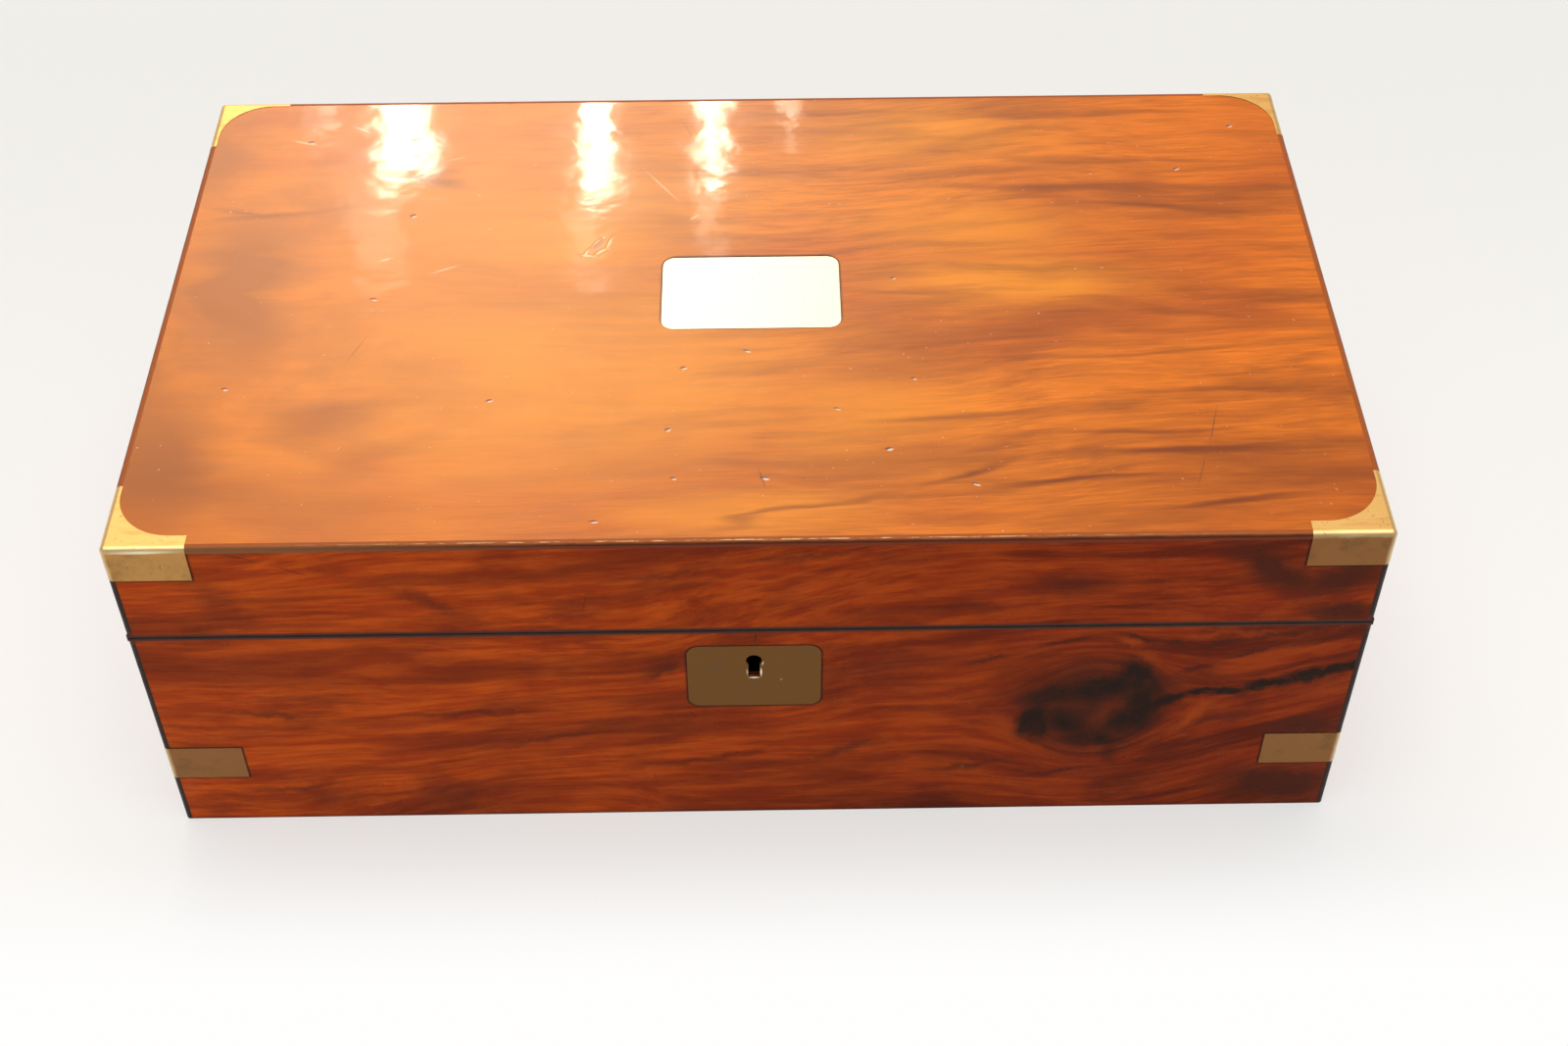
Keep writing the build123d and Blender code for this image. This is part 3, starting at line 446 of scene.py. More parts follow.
def wood_nodes(tree, place, along, across, wander):
    """The figure's outputs for a place, with its fineness and how far the grain wanders."""
    return wire(tree, "Group", {
        "Place": place, "Along": along, "Across": across, "Wander": wander,
    }, node_tree=figure).outputs


def surfaced(tree, settings):
    """Gives a material its surface, one shader with the settings."""
    shader = wire(tree, "BsdfPrincipled", settings)
    wire(tree, "OutputMaterial", {"Surface": shader.outputs["BSDF"]})


def polished(tree, colour, roughness, relief, coat=0.0, coat_roughness=0.3, specular=0.5,
             depth=0.0002):
    """Wood under French polish, as the material's surface."""
    surfaced(tree, {
        "Base Color": colour, "Roughness": roughness, "Normal": bumped(tree, relief, 1.0, depth),
        "Specular IOR Level": specular, "Coat Weight": coat, "Coat Roughness": coat_roughness})


def dress(material, *names):
    """Gives carried-over parts their finish."""
    for name in names:
        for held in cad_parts[name].material_slots:
            held.material = material


def shaken(tree, place, pattern, scale, detail, rough, reach):
    """A place thrown about by a soft pattern, so that marks drawn there are torn like grain."""
    throw = wire(tree, "TexNoise", {
        "Vector": pattern, "Scale": scale, "Detail": detail, "Roughness": rough}).outputs["Color"]
    throw = vectors(tree, "SUBTRACT", throw, (0.5, 0.5, 0.5))
    return vectors(tree, "ADD", place, scaled(tree, throw, reach))


# figured front: grain flows round a knot like water round a stone, and darkens to the right
front_material, tree = new_material("walnut_front")
place = own_place(tree)
away = vectors(tree, "SUBTRACT", place, KNOT)
flat = scaled(tree, away, (1, 0, 1))
distance = vectors(tree, "LENGTH", flat)
squared = larger(tree, times(tree, distance, distance), (0.55 * KNOT_RADIUS) ** 2)
flow = minus(tree, 1.0, maths(tree, "DIVIDE", (0.92 * KNOT_RADIUS) ** 2, squared))
parts = parts_of(tree, away)
rising = times(tree, fade(tree, parts["X"], 0.0, 0.12), 0.024)
falling = times(tree, fade(tree, parts["X"], -0.36, -0.06, 1.0, 0.0), -0.020)
line = times(tree, minus(tree, parts["Z"], plus(tree, rising, falling)), flow)
bent = joined(tree, parts["X"], VENEER_CUT, line)
wood = wood_nodes(tree, bent, 9.0, 85.0, 0.016)
broad = wood_nodes(tree, bent, 6.0, 34.0, 0.024)
colour = tint(tree, fade(tree, broad["Lines"], 0.36, 0.62), FRONT_MID, FRONT_FLASH)
colour = tint(tree, fade(tree, wood["Lines"], 0.35, 0.70, 0.0, 0.30), colour, FRONT_DARK)
colour = painted(tree, colour, broad["Streaks"], 0.60, FRONT_DARK)
colour = tint(tree, times(tree, wood["Streaks"], fade(tree, parts["X"], -0.12, 0.04, 0.60, 0.90)),
              colour, FRONT_DARK)
patches = fade(tree, stretched(tree, place, (22.0, 1.0, 34.0), 4.0, 0.6), 0.52, 0.70)
colour = painted(tree, colour, patches, 0.40, FRONT_BROWN)
dusk = fade(tree, parts["X"], -0.33, 0.07)
colour = tint(tree, dusk, colour, FRONT_DUSK, "MULTIPLY")
torn = shaken(tree, place, place, 70.0, 5.0, 0.62, (0.013, 0.0, 0.013))
halo = times(tree, fade(tree, distance, 0.016, 0.040, 0.75, 0.0),
             fade(tree, noise(tree, torn, 45.0, 4.0, 0.6), 0.35, 0.60, 0.45, 1.0))
colour = tint(tree, halo, colour, FRONT_BROWN)
flames = on_front(
    tree, torn, (153, 86, 144, 95, 6, 0.6), (137, 101, 144, 99, 6, 0.7),
    (181, 71, 156, 42, 10, 0.8), (79, 92, 120, 98, 8, 0.45), (92, 60, 106, 46, 9, 0.6),
    (112, 38, 98, 44, 6, 0.5), (40, 12, 100, 30, 8, 0.3), (150, 102, 215, 106, 4, 0.4),
    (176, 90, 225, 98, 8, 0.6), (170, 60, 190, 66, 6, 0.4))
colour = tint(tree, flames, colour, KNOT_FLAME)
streaks = on_front(
    tree, torn, (-46, 82, -20, 92, 7, 0.6), (-132, 136, -100, 118, 10, 0.45),
    (-57, 136, -12, 145, 6, 0.4), (-12, 145, 55, 153, 6, 0.4), (-215, 68, -150, 62, 4, 0.4),
    (-150, 62, -60, 66, 4, 0.4), (-222, 15, -140, 24, 5, 0.45), (-120, 40, -40, 56, 5, 0.4),
    (-60, 25, 20, 44, 6, 0.5), (14, 34, 60, 46, 7, 0.5), (56, 22, 110, 33, 5, 0.55),
    (100, 20, 142, 26, 5, 0.7), (139, 26, 168, 36, 5, 0.6), (75, 88, 104, 97, 4, 0.7),
    (100, 96, 134, 106, 4, 0.7), (134, 106, 152, 100, 4, 0.8), (150, 100, 165, 97, 4, 0.9),
    (163, 97, 186, 101, 4, 0.9), (183, 101, 215, 108, 4, 0.7), (157, 82, 174, 88, 4, 0.8),
    (171, 87, 198, 100, 4, 0.7), (172, 54, 198, 58, 10, 0.5), (196, 51, 229, 50, 13, 0.9),
    (186, 14, 229, 12, 36, 1.0), (60, 120, 96, 122, 9, 0.4), (98, 132, 132, 134, 18, 0.6),
    (168, 156, 206, 122, 22, 0.9), (196, 126, 229, 142, 24, 0.9), (202, 117, 229, 115, 14, 0.9))
colour = tint(tree, streaks, colour, FRONT_BROWN)
pith = on_front(tree, torn, (116, 60, 146, 66, 50, 1.0))
colour = painted(tree, colour, pith, 0.8, KNOT_BROWN)
veins = on_front(
    tree, torn, (102, 66, 124, 74, 18, 0.9), (118, 72, 148, 76, 19, 1.0),
    (140, 88, 151, 72, 20, 1.1), (149, 78, 147, 46, 19, 1.0), (109, 64, 107, 44, 16, 1.1),
    (110, 58, 128, 48, 18, 0.8), (118, 45, 148, 42, 15, 0.8), (136, 60, 146, 50, 18, 0.8),
    (138, 42, 140, 29, 14, 0.5), (150, 60, 166, 71.5, 9, 1.1), (158, 70.5, 192, 73.5, 6.5, 1.3),
    (180, 73, 210, 78, 7, 1.1), (198, 76.5, 218, 83.5, 10, 1.0), (204, 81.5, 236, 86.5, 9, 1.2))
veins = times(tree, veins, fade(tree, noise(tree, torn, 75.0, 5.0, 0.62), 0.30, 0.52, 0.60, 1.0))
colour = tint(tree, veins, colour, FRONT_NIGHT)
heart = on_front(tree, torn, (132, 54, 138, 68, 12, 0.8))
colour = tint(tree, heart, colour, KNOT_HEART)
cracks = on_front(
    tree, place, (1.2, 102, 1.4, 109.5, 0.5, 0.9), (-188.5, 155, -172, 149.5, 0.5, 0.8),
    (-172, 149.5, -153.5, 140.5, 0.5, 0.7), (-195, 143.2, -152, 143.8, 0.35, 0.55),
    (-58.5, 133.5, -62, 118.5, 0.45, 0.6), (-40, 28, -38.5, 18, 0.4, 0.5),
    (120, 30, 127, 20, 0.4, 0.4))
colour = tint(tree, cracks, colour, CRACK_BLACK)
edges = let_in(tree, place, "keyhole_plate", 0.0045, "Y")
for node in ("base_corner_strap_front_left", "base_corner_strap_front_right",
             "lid_corner_front_left", "lid_corner_front_right"):
    edges = larger(tree, edges, let_in(tree, place, node, 0.0004, "Y"))
outer_face = fade(tree, parts_of(tree, place)["Y"], FRONT_Y + 0.0015, FRONT_Y + 0.0035, 0.8, 0.0)
colour = tint(tree, times(tree, edges, outer_face), colour, SETTING_BLACK)
# painted shade in the bore behind the keyhole
bore_shade = on_front(tree, place, (0.6, 95, 0.6, 84.5, 8, 1.0))
colour = tint(tree, bore_shade, colour, BORE_SHADE_BLACK)
worn = near_arris(tree, place, 0.0020, 0.0015)
colour = painted(tree, colour, worn, 0.6, ARRIS_BROWN)
grit = fade(tree, noise(tree, place, 420.0, 1.0), 0.77, 0.81)
colour = painted(tree, colour, grit, 0.25, GRIT_TAN)
relief = minus(tree, times(tree, wood["Lines"], 0.25), plus(tree, cracks, wood["Pores"]))
gloss = fade(tree, noise(tree, place, 30.0, 4.0), 0.3, 0.7, 0.24, 0.40)
polished(tree, colour, gloss, relief, specular=0.05, depth=0.00006)
dress(front_material, "base_front", "lid_front")


# the other outer walls: straight grain, scuffed and worn brown along their arrises
EDGE_BROWN = (0.06, 0.02, 0.01, 1)
SCUFF_TAN = (0.5, 0.3, 0.16, 1)


def sawn(tree, place, turned, seed):
    """Where in the log a board is cut: its grain runs along X, or along Y if it is turned."""
    if turned:
        parts = parts_of(tree, place)
        place = joined(tree, parts["Y"], parts["X"], parts["Z"])
    return vectors(tree, "ADD", place, seed)


def plain_walnut(name, turned, seed):
    """Straight-grained walnut under polish."""
    material, tree = new_material(name)
    place = own_place(tree)
    cut = sawn(tree, place, turned, seed)
    wood = wood_nodes(tree, cut, 4.0, 42.0, 0.016)
    # the front's colours, written dark partly as painted shade of the upright walls
    colour = tint(tree, fade(tree, wood["Lines"], 0.32, 0.7), FRONT_MID, FRONT_FLASH)
    colour = painted(tree, colour, wood["Streaks"], 0.7, FRONT_DARK)
    colour = tint(tree, fade(tree, wood["Clouds"], 0.5, 0.8, 0.0, 0.5), colour, FRONT_DARK)
    worn = near_arris(tree, place, 0.003)
    colour = painted(tree, colour, worn, 0.5, EDGE_BROWN)
    scuffs = fade(tree, stretched(tree, cut, (40.0, 300.0, 300.0), 2.0), 0.70, 0.76)
    colour = painted(tree, colour, scuffs, 0.25, SCUFF_TAN)
    relief = minus(tree, times(tree, wood["Lines"], 0.25), wood["Pores"])
    gloss = fade(tree, noise(tree, place, 30.0, 4.0), 0.3, 0.7, 0.24, 0.42)
    polished(tree, colour, gloss, relief, specular=0.2, depth=0.00008)
    return material


dress(plain_walnut("walnut_sides", True, (0.4, 0.7, 0.1)),
      "base_left", "base_right", "lid_left", "lid_right")
dress(plain_walnut("walnut_back", False, (1.3, 0.2, 0.5)), "base_back", "lid_back")

# ------------------------ mahogany inside
# The bottom, shelf, divider, partitions, pen tray, ledges and small drawers are mahogany with a
# thin satin polish, planed by hand.
MAHOGANY_DARK = (0.150, 0.030, 0.008, 1)
MAHOGANY_LIGHT = (0.370, 0.092, 0.024, 1)
PORE_BROWN = (0.04, 0.012, 0.006, 1)


def mahogany(name, turned, seed):
    """Mahogany with a thin polish and open pores."""
    material, tree = new_material(name)
    wood = wood_nodes(tree, sawn(tree, own_place(tree), turned, seed), 2.5, 70.0, 0.006)
    colour = tint(tree, fade(tree, wood["Lines"], 0.25, 0.72), MAHOGANY_DARK, MAHOGANY_LIGHT)
    colour = painted(tree, colour, wood["Streaks"], 0.45, MAHOGANY_DARK)
    colour = tint(tree, fade(tree, wood["Clouds"], 0.40, 0.65, 0.0, 0.30), colour, MAHOGANY_LIGHT)
    colour = painted(tree, colour, wood["Pores"], 0.6, PORE_BROWN)
    relief = minus(tree, times(tree, wood["Lines"], 0.3), wood["Pores"])
    gloss = fade(tree, wood["Clouds"], 0.3, 0.7, 0.38, 0.55)
    polished(tree, colour, gloss, relief, specular=0.18, depth=0.0001)
    return material


dress(mahogany("mahogany_long_grain", False, (0.2, 0.9, 0.4)), "base_bottom",
      "pen_zone_shelf", "pen_zone_divider", "pen_tray", "drawer_left", "drawer_right")
dress(mahogany("mahogany_cross_grain", True, (0.8, 0.1, 0.3)), "drawer_partition",
      "ink_bay_partition_left", "ink_bay_partition_right", "base_flap_ledges", "lid_flap_ledges")

# ------------------------ ebonised strips
# Thin strips of stained wood face both rims and are let into the outer arrises.  Handling has
# worn them brown.  The lid's front strip is painted lighter brown toward the left, partly as a
# painted highlight, and a painted glint runs along the front arris of the lid.
SLOPE = math.radians(6.716)   # of the joint between base and lid, down to the back
HINGE = (0, 0.134, 0.0785)    # middle of the main hinge axis, in the plane of the joint
DOWN_SEAM = (0, math.cos(SLOPE), -math.sin(SLOPE))
SQUARE_TO_SEAM = (0, math.sin(SLOPE), math.cos(SLOPE))
STRIP_BLACK = (0.010, 0.004, 0.003, 1)
STRIP_BROWN = (0.045, 0.015, 0.007, 1)
STRIP_FRONT = (0.180, 0.027, 0.005, 1)
STRIP_HANDLED_LIT = (0.240, 0.100, 0.036, 1)
STRIP_RUBBED = (0.085, 0.017, 0.006, 1)
STRIP_WORN = (0.40, 0.100, 0.022, 1)
STRIP_GLINT = (0.95, 0.60, 0.26, 1)
GLINT_HALF = 0.215            # half the length of the painted glint along the front arris of the lid


def from_hinge(tree, place, way):
    """How far a place lies from the axis of the main hinge along a direction."""
    return vectors(tree, "DOT_PRODUCT", vectors(tree, "SUBTRACT", place, HINGE), way)


strip_material, tree = new_material("ebonised_wood")
place = own_place(tree)
wood = wood_nodes(tree, place, 8.0, 160.0, 0.003)
colour = tint(tree, wood["Lines"], STRIP_BLACK, STRIP_BROWN)
axes = parts_of(tree, place)
outer = near_arris(tree, place, 0.0010, 0.0008)
upper = fade(tree, axes["Z"], HEIGHT - 0.0010, HEIGHT - 0.0002)
colour = tint(tree, times(tree, minus(tree, 1.0, outer), upper), colour, STRIP_WORN)
lid_part = fade(tree, axes["Z"], HEIGHT - 0.0040, HEIGHT - 0.0030)
low_part = fade(tree, axes["Z"], HEIGHT - 0.0014, HEIGHT - 0.0007, 1.0, 0.0)
colour = tint(tree, times(tree, low_part, lid_part), colour, STRIP_FRONT)
# painted lighter toward the left: handling, and a painted highlight where the corner is lit
handled_and_sheen = times(tree, lid_part, fade(tree, axes["Y"], FRONT_Y + 0.0004, FRONT_Y + 0.0012, 1.0, 0.0))
handled_and_sheen = times(tree, fade(tree, axes["X"], -0.20, -0.04, 0.9, 0.0), handled_and_sheen)
colour = tint(tree, handled_and_sheen, colour, STRIP_HANDLED_LIT)
from_joint = maths(tree, "ABSOLUTE", from_hinge(tree, place, SQUARE_TO_SEAM))
rubbed = times(tree, fade(tree, from_joint, 0.0005, 0.0009),
               fade(tree, from_joint, 0.003, 0.004, 1.0, 0.0))
colour = tint(tree, rubbed, colour, STRIP_RUBBED)
# painted glint along the lid's front arris
ends = [(side * GLINT_HALF, FRONT_Y + 0.0012, HEIGHT) for side in (-1, 1)]
glints = marked(tree, place, [(*ends, 0.0007, 0.8)])
broken = fade(tree, stretched(tree, place, (160.0, 900.0, 900.0), 4.0, 0.7), 0.46, 0.58)
colour = tint(tree, times(tree, glints, broken), colour, STRIP_GLINT)
gloss = fade(tree, noise(tree, place, 200.0, 3.0), 0.3, 0.7, 0.30, 0.5)
polished(tree, colour, gloss, wood["Lines"], specular=0.15, depth=0.00006)
dress(strip_material, "base_rim_facing", "base_corner_stringing", "lid_rim_facing",
      "lid_edge_stringing")

# ------------------------ brass
# Sheet brass, let in flush and pinned: straps and keyhole plate on the base, corners and name
# plate on the lid.  Level faces are painted bright and upright faces olive brown: partly wear by
# hands and tarnish, partly painted light, as the level faces were lit and the upright ones shaded.
# colours of level faces and of upright faces; the dull upright colours are tarnish darkened further
# as painted shade
BRIGHT_BRASS = (1.0, 0.60, 0.20, 1)
DULL_BRASS = (0.275, 0.122, 0.038, 1)
BROWN_BRASS = (0.150, 0.075, 0.028, 1)
# painted shade inside the lock
LOCK_SHADE_BLACK = (0.012, 0.009, 0.007, 1)
BRASS_HIGHLIGHT = (1.0, 0.86, 0.58, 1)
PITTED_BRASS = (0.075, 0.035, 0.012, 1)
STAINED_BRASS = (0.80, 0.34, 0.09, 1)
ARRIS_BRASS = (1.0, 0.80, 0.46, 1)
# the lid's left front corner gets a lighter upright colour as painted light where it was lit, and
# the keyhole plate a darker one as painted shade
CORNER_BRASS = (0.50, 0.26, 0.076, 1)
PLATE_BRASS = (0.168, 0.075, 0.019, 1)
# near-white, partly a painted highlight
NAME_BRASS = (1.0, 0.92, 0.70, 1)
FITTING_BRASS = (0.62, 0.38, 0.13, 1)

patina_and_shade, given, out = new_group(
    "brass_patina_and_shade",
    (("Place", "Vector", (0, 0, 0)), ("Facing", "Vector", (0, 0, 1)),
     ("Bright", "Color", BRIGHT_BRASS), ("Dull", "Color", DULL_BRASS), ("Stained", "Float", 0.45)),
    (("Color", "Color"), ("Upturned", "Float"), ("Wear", "Float")),
)
upward = parts_of(patina_and_shade, given["Facing"])["Z"]
blotch = noise(patina_and_shade, given["Place"], 95.0, 5.0, 0.6)
uneven = times(patina_and_shade, minus(patina_and_shade, blotch, 0.5), 0.5)
# level faces take the bright colour and upright faces the dull one: partly wear by hands, partly
# painted light
upturned = fade(patina_and_shade, plus(patina_and_shade, upward, uneven), 0.35, 0.75)
upright_colour = tint(patina_and_shade, fade(patina_and_shade, blotch, 0.46, 0.80), given["Dull"], BROWN_BRASS)
slow = noise(patina_and_shade, given["Place"], 30.0, 3.0)
upright_colour = tint(patina_and_shade, fade(patina_and_shade, slow, 0.3, 0.7, 0.0, 0.45), upright_colour, given["Dull"])
specks = fade(patina_and_shade, noise(patina_and_shade, given["Place"], 900.0, 2.0), 0.66, 0.72)
stains = stretched(patina_and_shade, given["Place"], (60.0, 260.0, 260.0), 4.0, 0.6)
stains = times(patina_and_shade, fade(patina_and_shade, stains, 0.50, 0.68), given["Stained"])
rubbed = tint(patina_and_shade, stains, given["Bright"], STAINED_BRASS)
colour = tint(patina_and_shade, upturned, upright_colour, rubbed)
# arrises painted lighter: partly rubbed bright, partly a painted highlight of their rounding
arrises = near_arris(patina_and_shade, given["Place"], 0.0024, 0.0012)
colour = painted(patina_and_shade, colour, arrises, 0.65, ARRIS_BRASS)
colour = painted(patina_and_shade, colour, specks, 0.5, BROWN_BRASS)
hairlines = stretched(patina_and_shade, given["Place"], (260.0, 2600.0, 900.0), 2.0)
put_out(patina_and_shade, out, {"Color": colour, "Upturned": upturned, "Wear": plus(patina_and_shade, hairlines, specks)})


def brass(name, bright=BRIGHT_BRASS, dull=DULL_BRASS, shine=0.42, dullness=0.48, stained=0.45,
          dark_below=None, rubbed=(), pitted=()):
    """Brass whose colour follows the way its faces look: bright on level faces and dull on upright
    ones, partly wear and partly painted light; below a depth the lock is painted black as the shade
    inside it.  Marks of painted highlight, and pits painted brown, can be given on its front face."""
    material, tree = new_material(name)
    coordinates = wire(tree, "TexCoord").outputs
    place = coordinates["Object"]
    surface = wire(tree, "Group", {
        "Place": place, "Facing": coordinates["Normal"], "Bright": bright, "Dull": dull,
        "Stained": stained}, node_tree=patina_and_shade).outputs
    colour = surface["Color"]
    for marks, paint, share in ((rubbed, BRASS_HIGHLIGHT, 1.0), (pitted, PITTED_BRASS, 0.8)):
        if marks:
            colour = painted(tree, colour, on_front(tree, place, *marks), share, paint)
    # the lock case is painted black below a depth: painted shade inside the lock, as seen through
    # the keyhole
    if dark_below is not None:
        above = from_hinge(tree, place, SQUARE_TO_SEAM)
        shaded_inside = fade(tree, above, -dark_below - 0.0005, -dark_below)
        colour = tint(tree, shaded_inside, LOCK_SHADE_BLACK, colour)
    surfaced(tree, {
        "Base Color": colour, "Metallic": 1.0,
        "Roughness": fade(tree, surface["Upturned"], 0.0, 1.0, dullness, shine),
        "Normal": bumped(tree, surface["Wear"], 0.5, 0.00003)})
    return material


binding_brass = brass("binding_brass")
# left front corner of the lid: pits painted brown, and painted highlights, one along its top arris
lit_brass = brass("left_corner_brass", dull=CORNER_BRASS, pitted=(
    (-208.6, 146.8, -208.2, 149.2, 1.5, 0.5), (-220.4, 148.2, -219.8, 148.0, 0.8, 1.0),
    (-213, 152.4, -212.2, 152.2, 0.5, 0.9), (-223, 144.6, -222.6, 144.4, 0.6, 0.9),
    (-203, 150, -202.6, 150.3, 0.5, 0.9), (-216.5, 144, -216.2, 144.4, 0.5, 0.8)),
    rubbed=((-208.2, 147.4, -208.0, 148.6, 0.8, 0.5), (-228.5, 155.5, -199, 155.9, 2.2, 0.8)))
# keyhole plate: painted highlights on the bevel of the keyhole
plate_brass = brass("keyhole_plate_brass", dull=PLATE_BRASS, rubbed=(
    (-2.1, 88.6, -1.9, 84.2, 0.7, 0.5), (-1.9, 83.2, 3.1, 83.2, 0.9, 1.0),
    (3.2, 83.4, 3.2, 89.2, 0.9, 1.0), (3.6, 90.0, 4.1, 92.6, 0.7, 0.7),
    (10.5, 81.8, 10.9, 82.0, 0.5, 0.9)))
# the name plate is given a near-white brass, partly as a painted highlight
dress(brass("name_plate_brass", bright=NAME_BRASS, stained=0.0), "name_plate")
dress(brass("lock_case_brass", dull=FITTING_BRASS, dark_below=0.002), "lock_case")
fitting_brass = brass("fitting_brass", dull=FITTING_BRASS, shine=0.26, dullness=0.30)
CORNERS = ("front_left", "front_right", "back_left", "back_right")
for corner in CORNERS:
    dress(binding_brass, "base_corner_strap_" + corner, "lid_corner_" + corner)
dress(lit_brass, "lid_corner_front_left")
dress(plate_brass, "keyhole_plate")
dress(fitting_brass, "link_plate", "link_staples", "main_hinge_pins", "inkwell_cap_pins",
      "upper_flap_pins", "lower_flap_pins", "base_screws", "lid_screws")
PAIRED_FITTINGS = ("base_hinge_leaf", "lid_hinge_leaf", "inkwell_collar", "inkwell_cap",
                   "drawer_knob")
dress(fitting_brass, *[f"{part}_{side}" for part in PAIRED_FITTINGS for side in ("left", "right")])

# ------------------------ screws of the rims
# Countersunk brass wood screws hold the hinge leaves, the lock and the link plate.  Their slots
# are sawn, and each stands as its last turn left it.
SCREW_HEAD, SCREW_SHANK = 0.0025, 0.0012             # radii
SCREW_HEAD_DEEP, SCREW_LONG = 0.0015, 0.0070
SLOT_HALF, SLOT_DEEP = 0.00035, 0.0006
HEAD_STEPS = 14                                      # round each half of the head
RIM = 0.00015                                        # from the joint's plane to each rim
HINGE_SCREWS = (-0.0062, (0.1285, 0.1505, 0.1725))   # place down the slope, and to each side
LOCK_INSET = 0.005                                   # of the lock's screws from the front
LOCK_SCREWS = ((FRONT_Y + LOCK_INSET - HINGE[1]) / math.cos(SLOPE), (0.0305,))


def slotted_screw(bm, place, out, turn):
    """Adds a screw whose head faces out, with its slot at an angle."""
    along = Vector((1, 0, 0)) * math.cos(turn) + out.cross(Vector((1, 0, 0))) * math.sin(turn)
    aside = out.cross(along)

    def ring_point(angle, radius, height):
        way = along * math.cos(angle) + aside * math.sin(angle)
        return bm.verts.new(place + way * radius + out * height)

    corner = math.asin(SLOT_HALF / SCREW_HEAD)
    slot_end = SCREW_HEAD - (SCREW_HEAD - SCREW_SHANK) * SLOT_DEEP / SCREW_HEAD_DEEP
    slot_corner = math.asin(SLOT_HALF / slot_end)
    rim, neck, halves, floor_points = [], [], [], []
    arc = (math.pi - 2 * corner) / HEAD_STEPS
    for start in (0.0, math.pi):
        angles = [start + corner + arc * step for step in range(HEAD_STEPS + 1)]
        half = [ring_point(angle, SCREW_HEAD, 0) for angle in angles]
        low = [ring_point(start + math.pi + turned, slot_end, -SLOT_DEEP)
               for turned in (-slot_corner, slot_corner)]
        halves.append(half)
        floor_points += low
        rim += half + low
        neck += [ring_point(angle, SCREW_SHANK, -SCREW_HEAD_DEEP) for angle in
                 angles + [start + math.pi - corner / 2, start + math.pi + corner / 2]]
    for half in halves:
        bm.faces.new(half)
    bm.faces.new(floor_points)
    bm.faces.new((halves[0][0], halves[0][-1], floor_points[0], floor_points[3]))
    bm.faces.new((halves[1][0], halves[1][-1], floor_points[2], floor_points[1]))
    tip = bm.verts.new(place - out * SCREW_LONG)
    for here, after in zip(range(len(rim)), [*range(1, len(rim)), 0]):
        bm.faces.new((rim[here], rim[after], neck[after], neck[here]))
        bm.faces.new((neck[here], neck[after], tip))


dice = random.Random(4)
for body, upward in (("base", 1), ("lid", -1)):
    bm = bmesh.new()
    for down, places in (HINGE_SCREWS, LOCK_SCREWS):
        for x in [side * place for side in (-1, 1) for place in places]:
            head = Vector(HINGE) + Vector((x, 0, 0)) + Vector(DOWN_SEAM) * down
            head -= Vector(SQUARE_TO_SEAM) * RIM * upward
            slotted_screw(bm, head, Vector(SQUARE_TO_SEAM) * upward, dice.uniform(0, math.pi))
    screws = new_piece(f"{body}_rim_screws", bm, fitting_brass)
    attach(screws, body)
    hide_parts(f"{body}_screws")

# ------------------------ lid top
# One wide board of straight-grained walnut under thick French polish, painted lighter in the middle
# where it has faded and as a painted sheen of the polish, and marked by nicks, a crescent dent and
# scratches.
LID_DEEP = (0.27, 0.058, 0.010, 1)
LID_MID = (0.72, 0.160, 0.014, 1)
LID_LIGHT = (0.95, 0.262, 0.014, 1)
LID_FADED_SHEEN = (1.0, 0.325, 0.018, 1)
LID_HAZE = (0.54, 0.148, 0.018, 1)
LID_CRACK = (0.10, 0.030, 0.012, 1)
LID_RED = (0.96, 0.84, 0.80, 1)        # what reddens the right-hand side
LID_ARRIS = (0.16, 0.05, 0.02, 1)
NICK_DARK = (0.10, 0.045, 0.04, 1)
# painted highlights on nicks, the crescent dent and scratches
NICK_HIGHLIGHT = (1.0, 0.78, 0.62, 1)
DENT_HIGHLIGHT = (1.0, 0.80, 0.42, 1)
SCRATCH_DARK = (0.20, 0.06, 0.03, 1)
SCRATCH_GLINT = (1.0, 0.80, 0.45, 1)
DUST = (0.9, 0.62, 0.42, 1)
BOARD_CUT = 0.77                       # where in the log the board is sawn


def on_lid(tree, place, *lines):
    """Mask of marks on the lid top: x and y of both ends in millimetres, width and strength."""
    return marked(tree, place, [
        ((x0 / 1000, y0 / 1000, HEIGHT), (x1 / 1000, y1 / 1000, HEIGHT), width / 1000, strength)
        for x0, y0, x1, y1, width, strength in lines])


top_material, tree = new_material("walnut_lid_top")
place = own_place(tree)
axes = parts_of(tree, place)
climb = times(tree, fade(tree, axes["X"], -0.05, 0.23), 0.014)
laid = joined(tree, axes["X"], minus(tree, axes["Y"], climb), BOARD_CUT)
fine = wood_nodes(tree, laid, 10.0, 95.0, 0.016)
wide = wood_nodes(tree, laid, 6.0, 30.0, 0.026)
lively = fade(tree, axes["X"], -0.16, 0.0, 0.30, 1.0)
colour = tint(tree, fade(tree, wide["Clouds"], 0.36, 0.62), LID_MID, LID_LIGHT)
fibres = stretched(tree, laid, (26.0, 850.0, 850.0), 3.0, 0.6)
for grain, share in ((fade(tree, wide["Lines"], 0.40, 0.66), 0.24),
                     (fade(tree, fine["Lines"], 0.42, 0.66), 0.22),
                     (fade(tree, fibres, 0.52, 0.68), 0.24)):
    colour = painted(tree, colour, times(tree, lively, grain), share, LID_DEEP)
reddened = fade(tree, axes["X"], -0.02, 0.20)
colour = tint(tree, reddened, colour, LID_RED, "MULTIPLY")
torn = shaken(tree, place, scaled(tree, place, (12.0, 60.0, 60.0)), 1.0, 4.0, 0.5,
              (0.05, 0.018, 0.0))
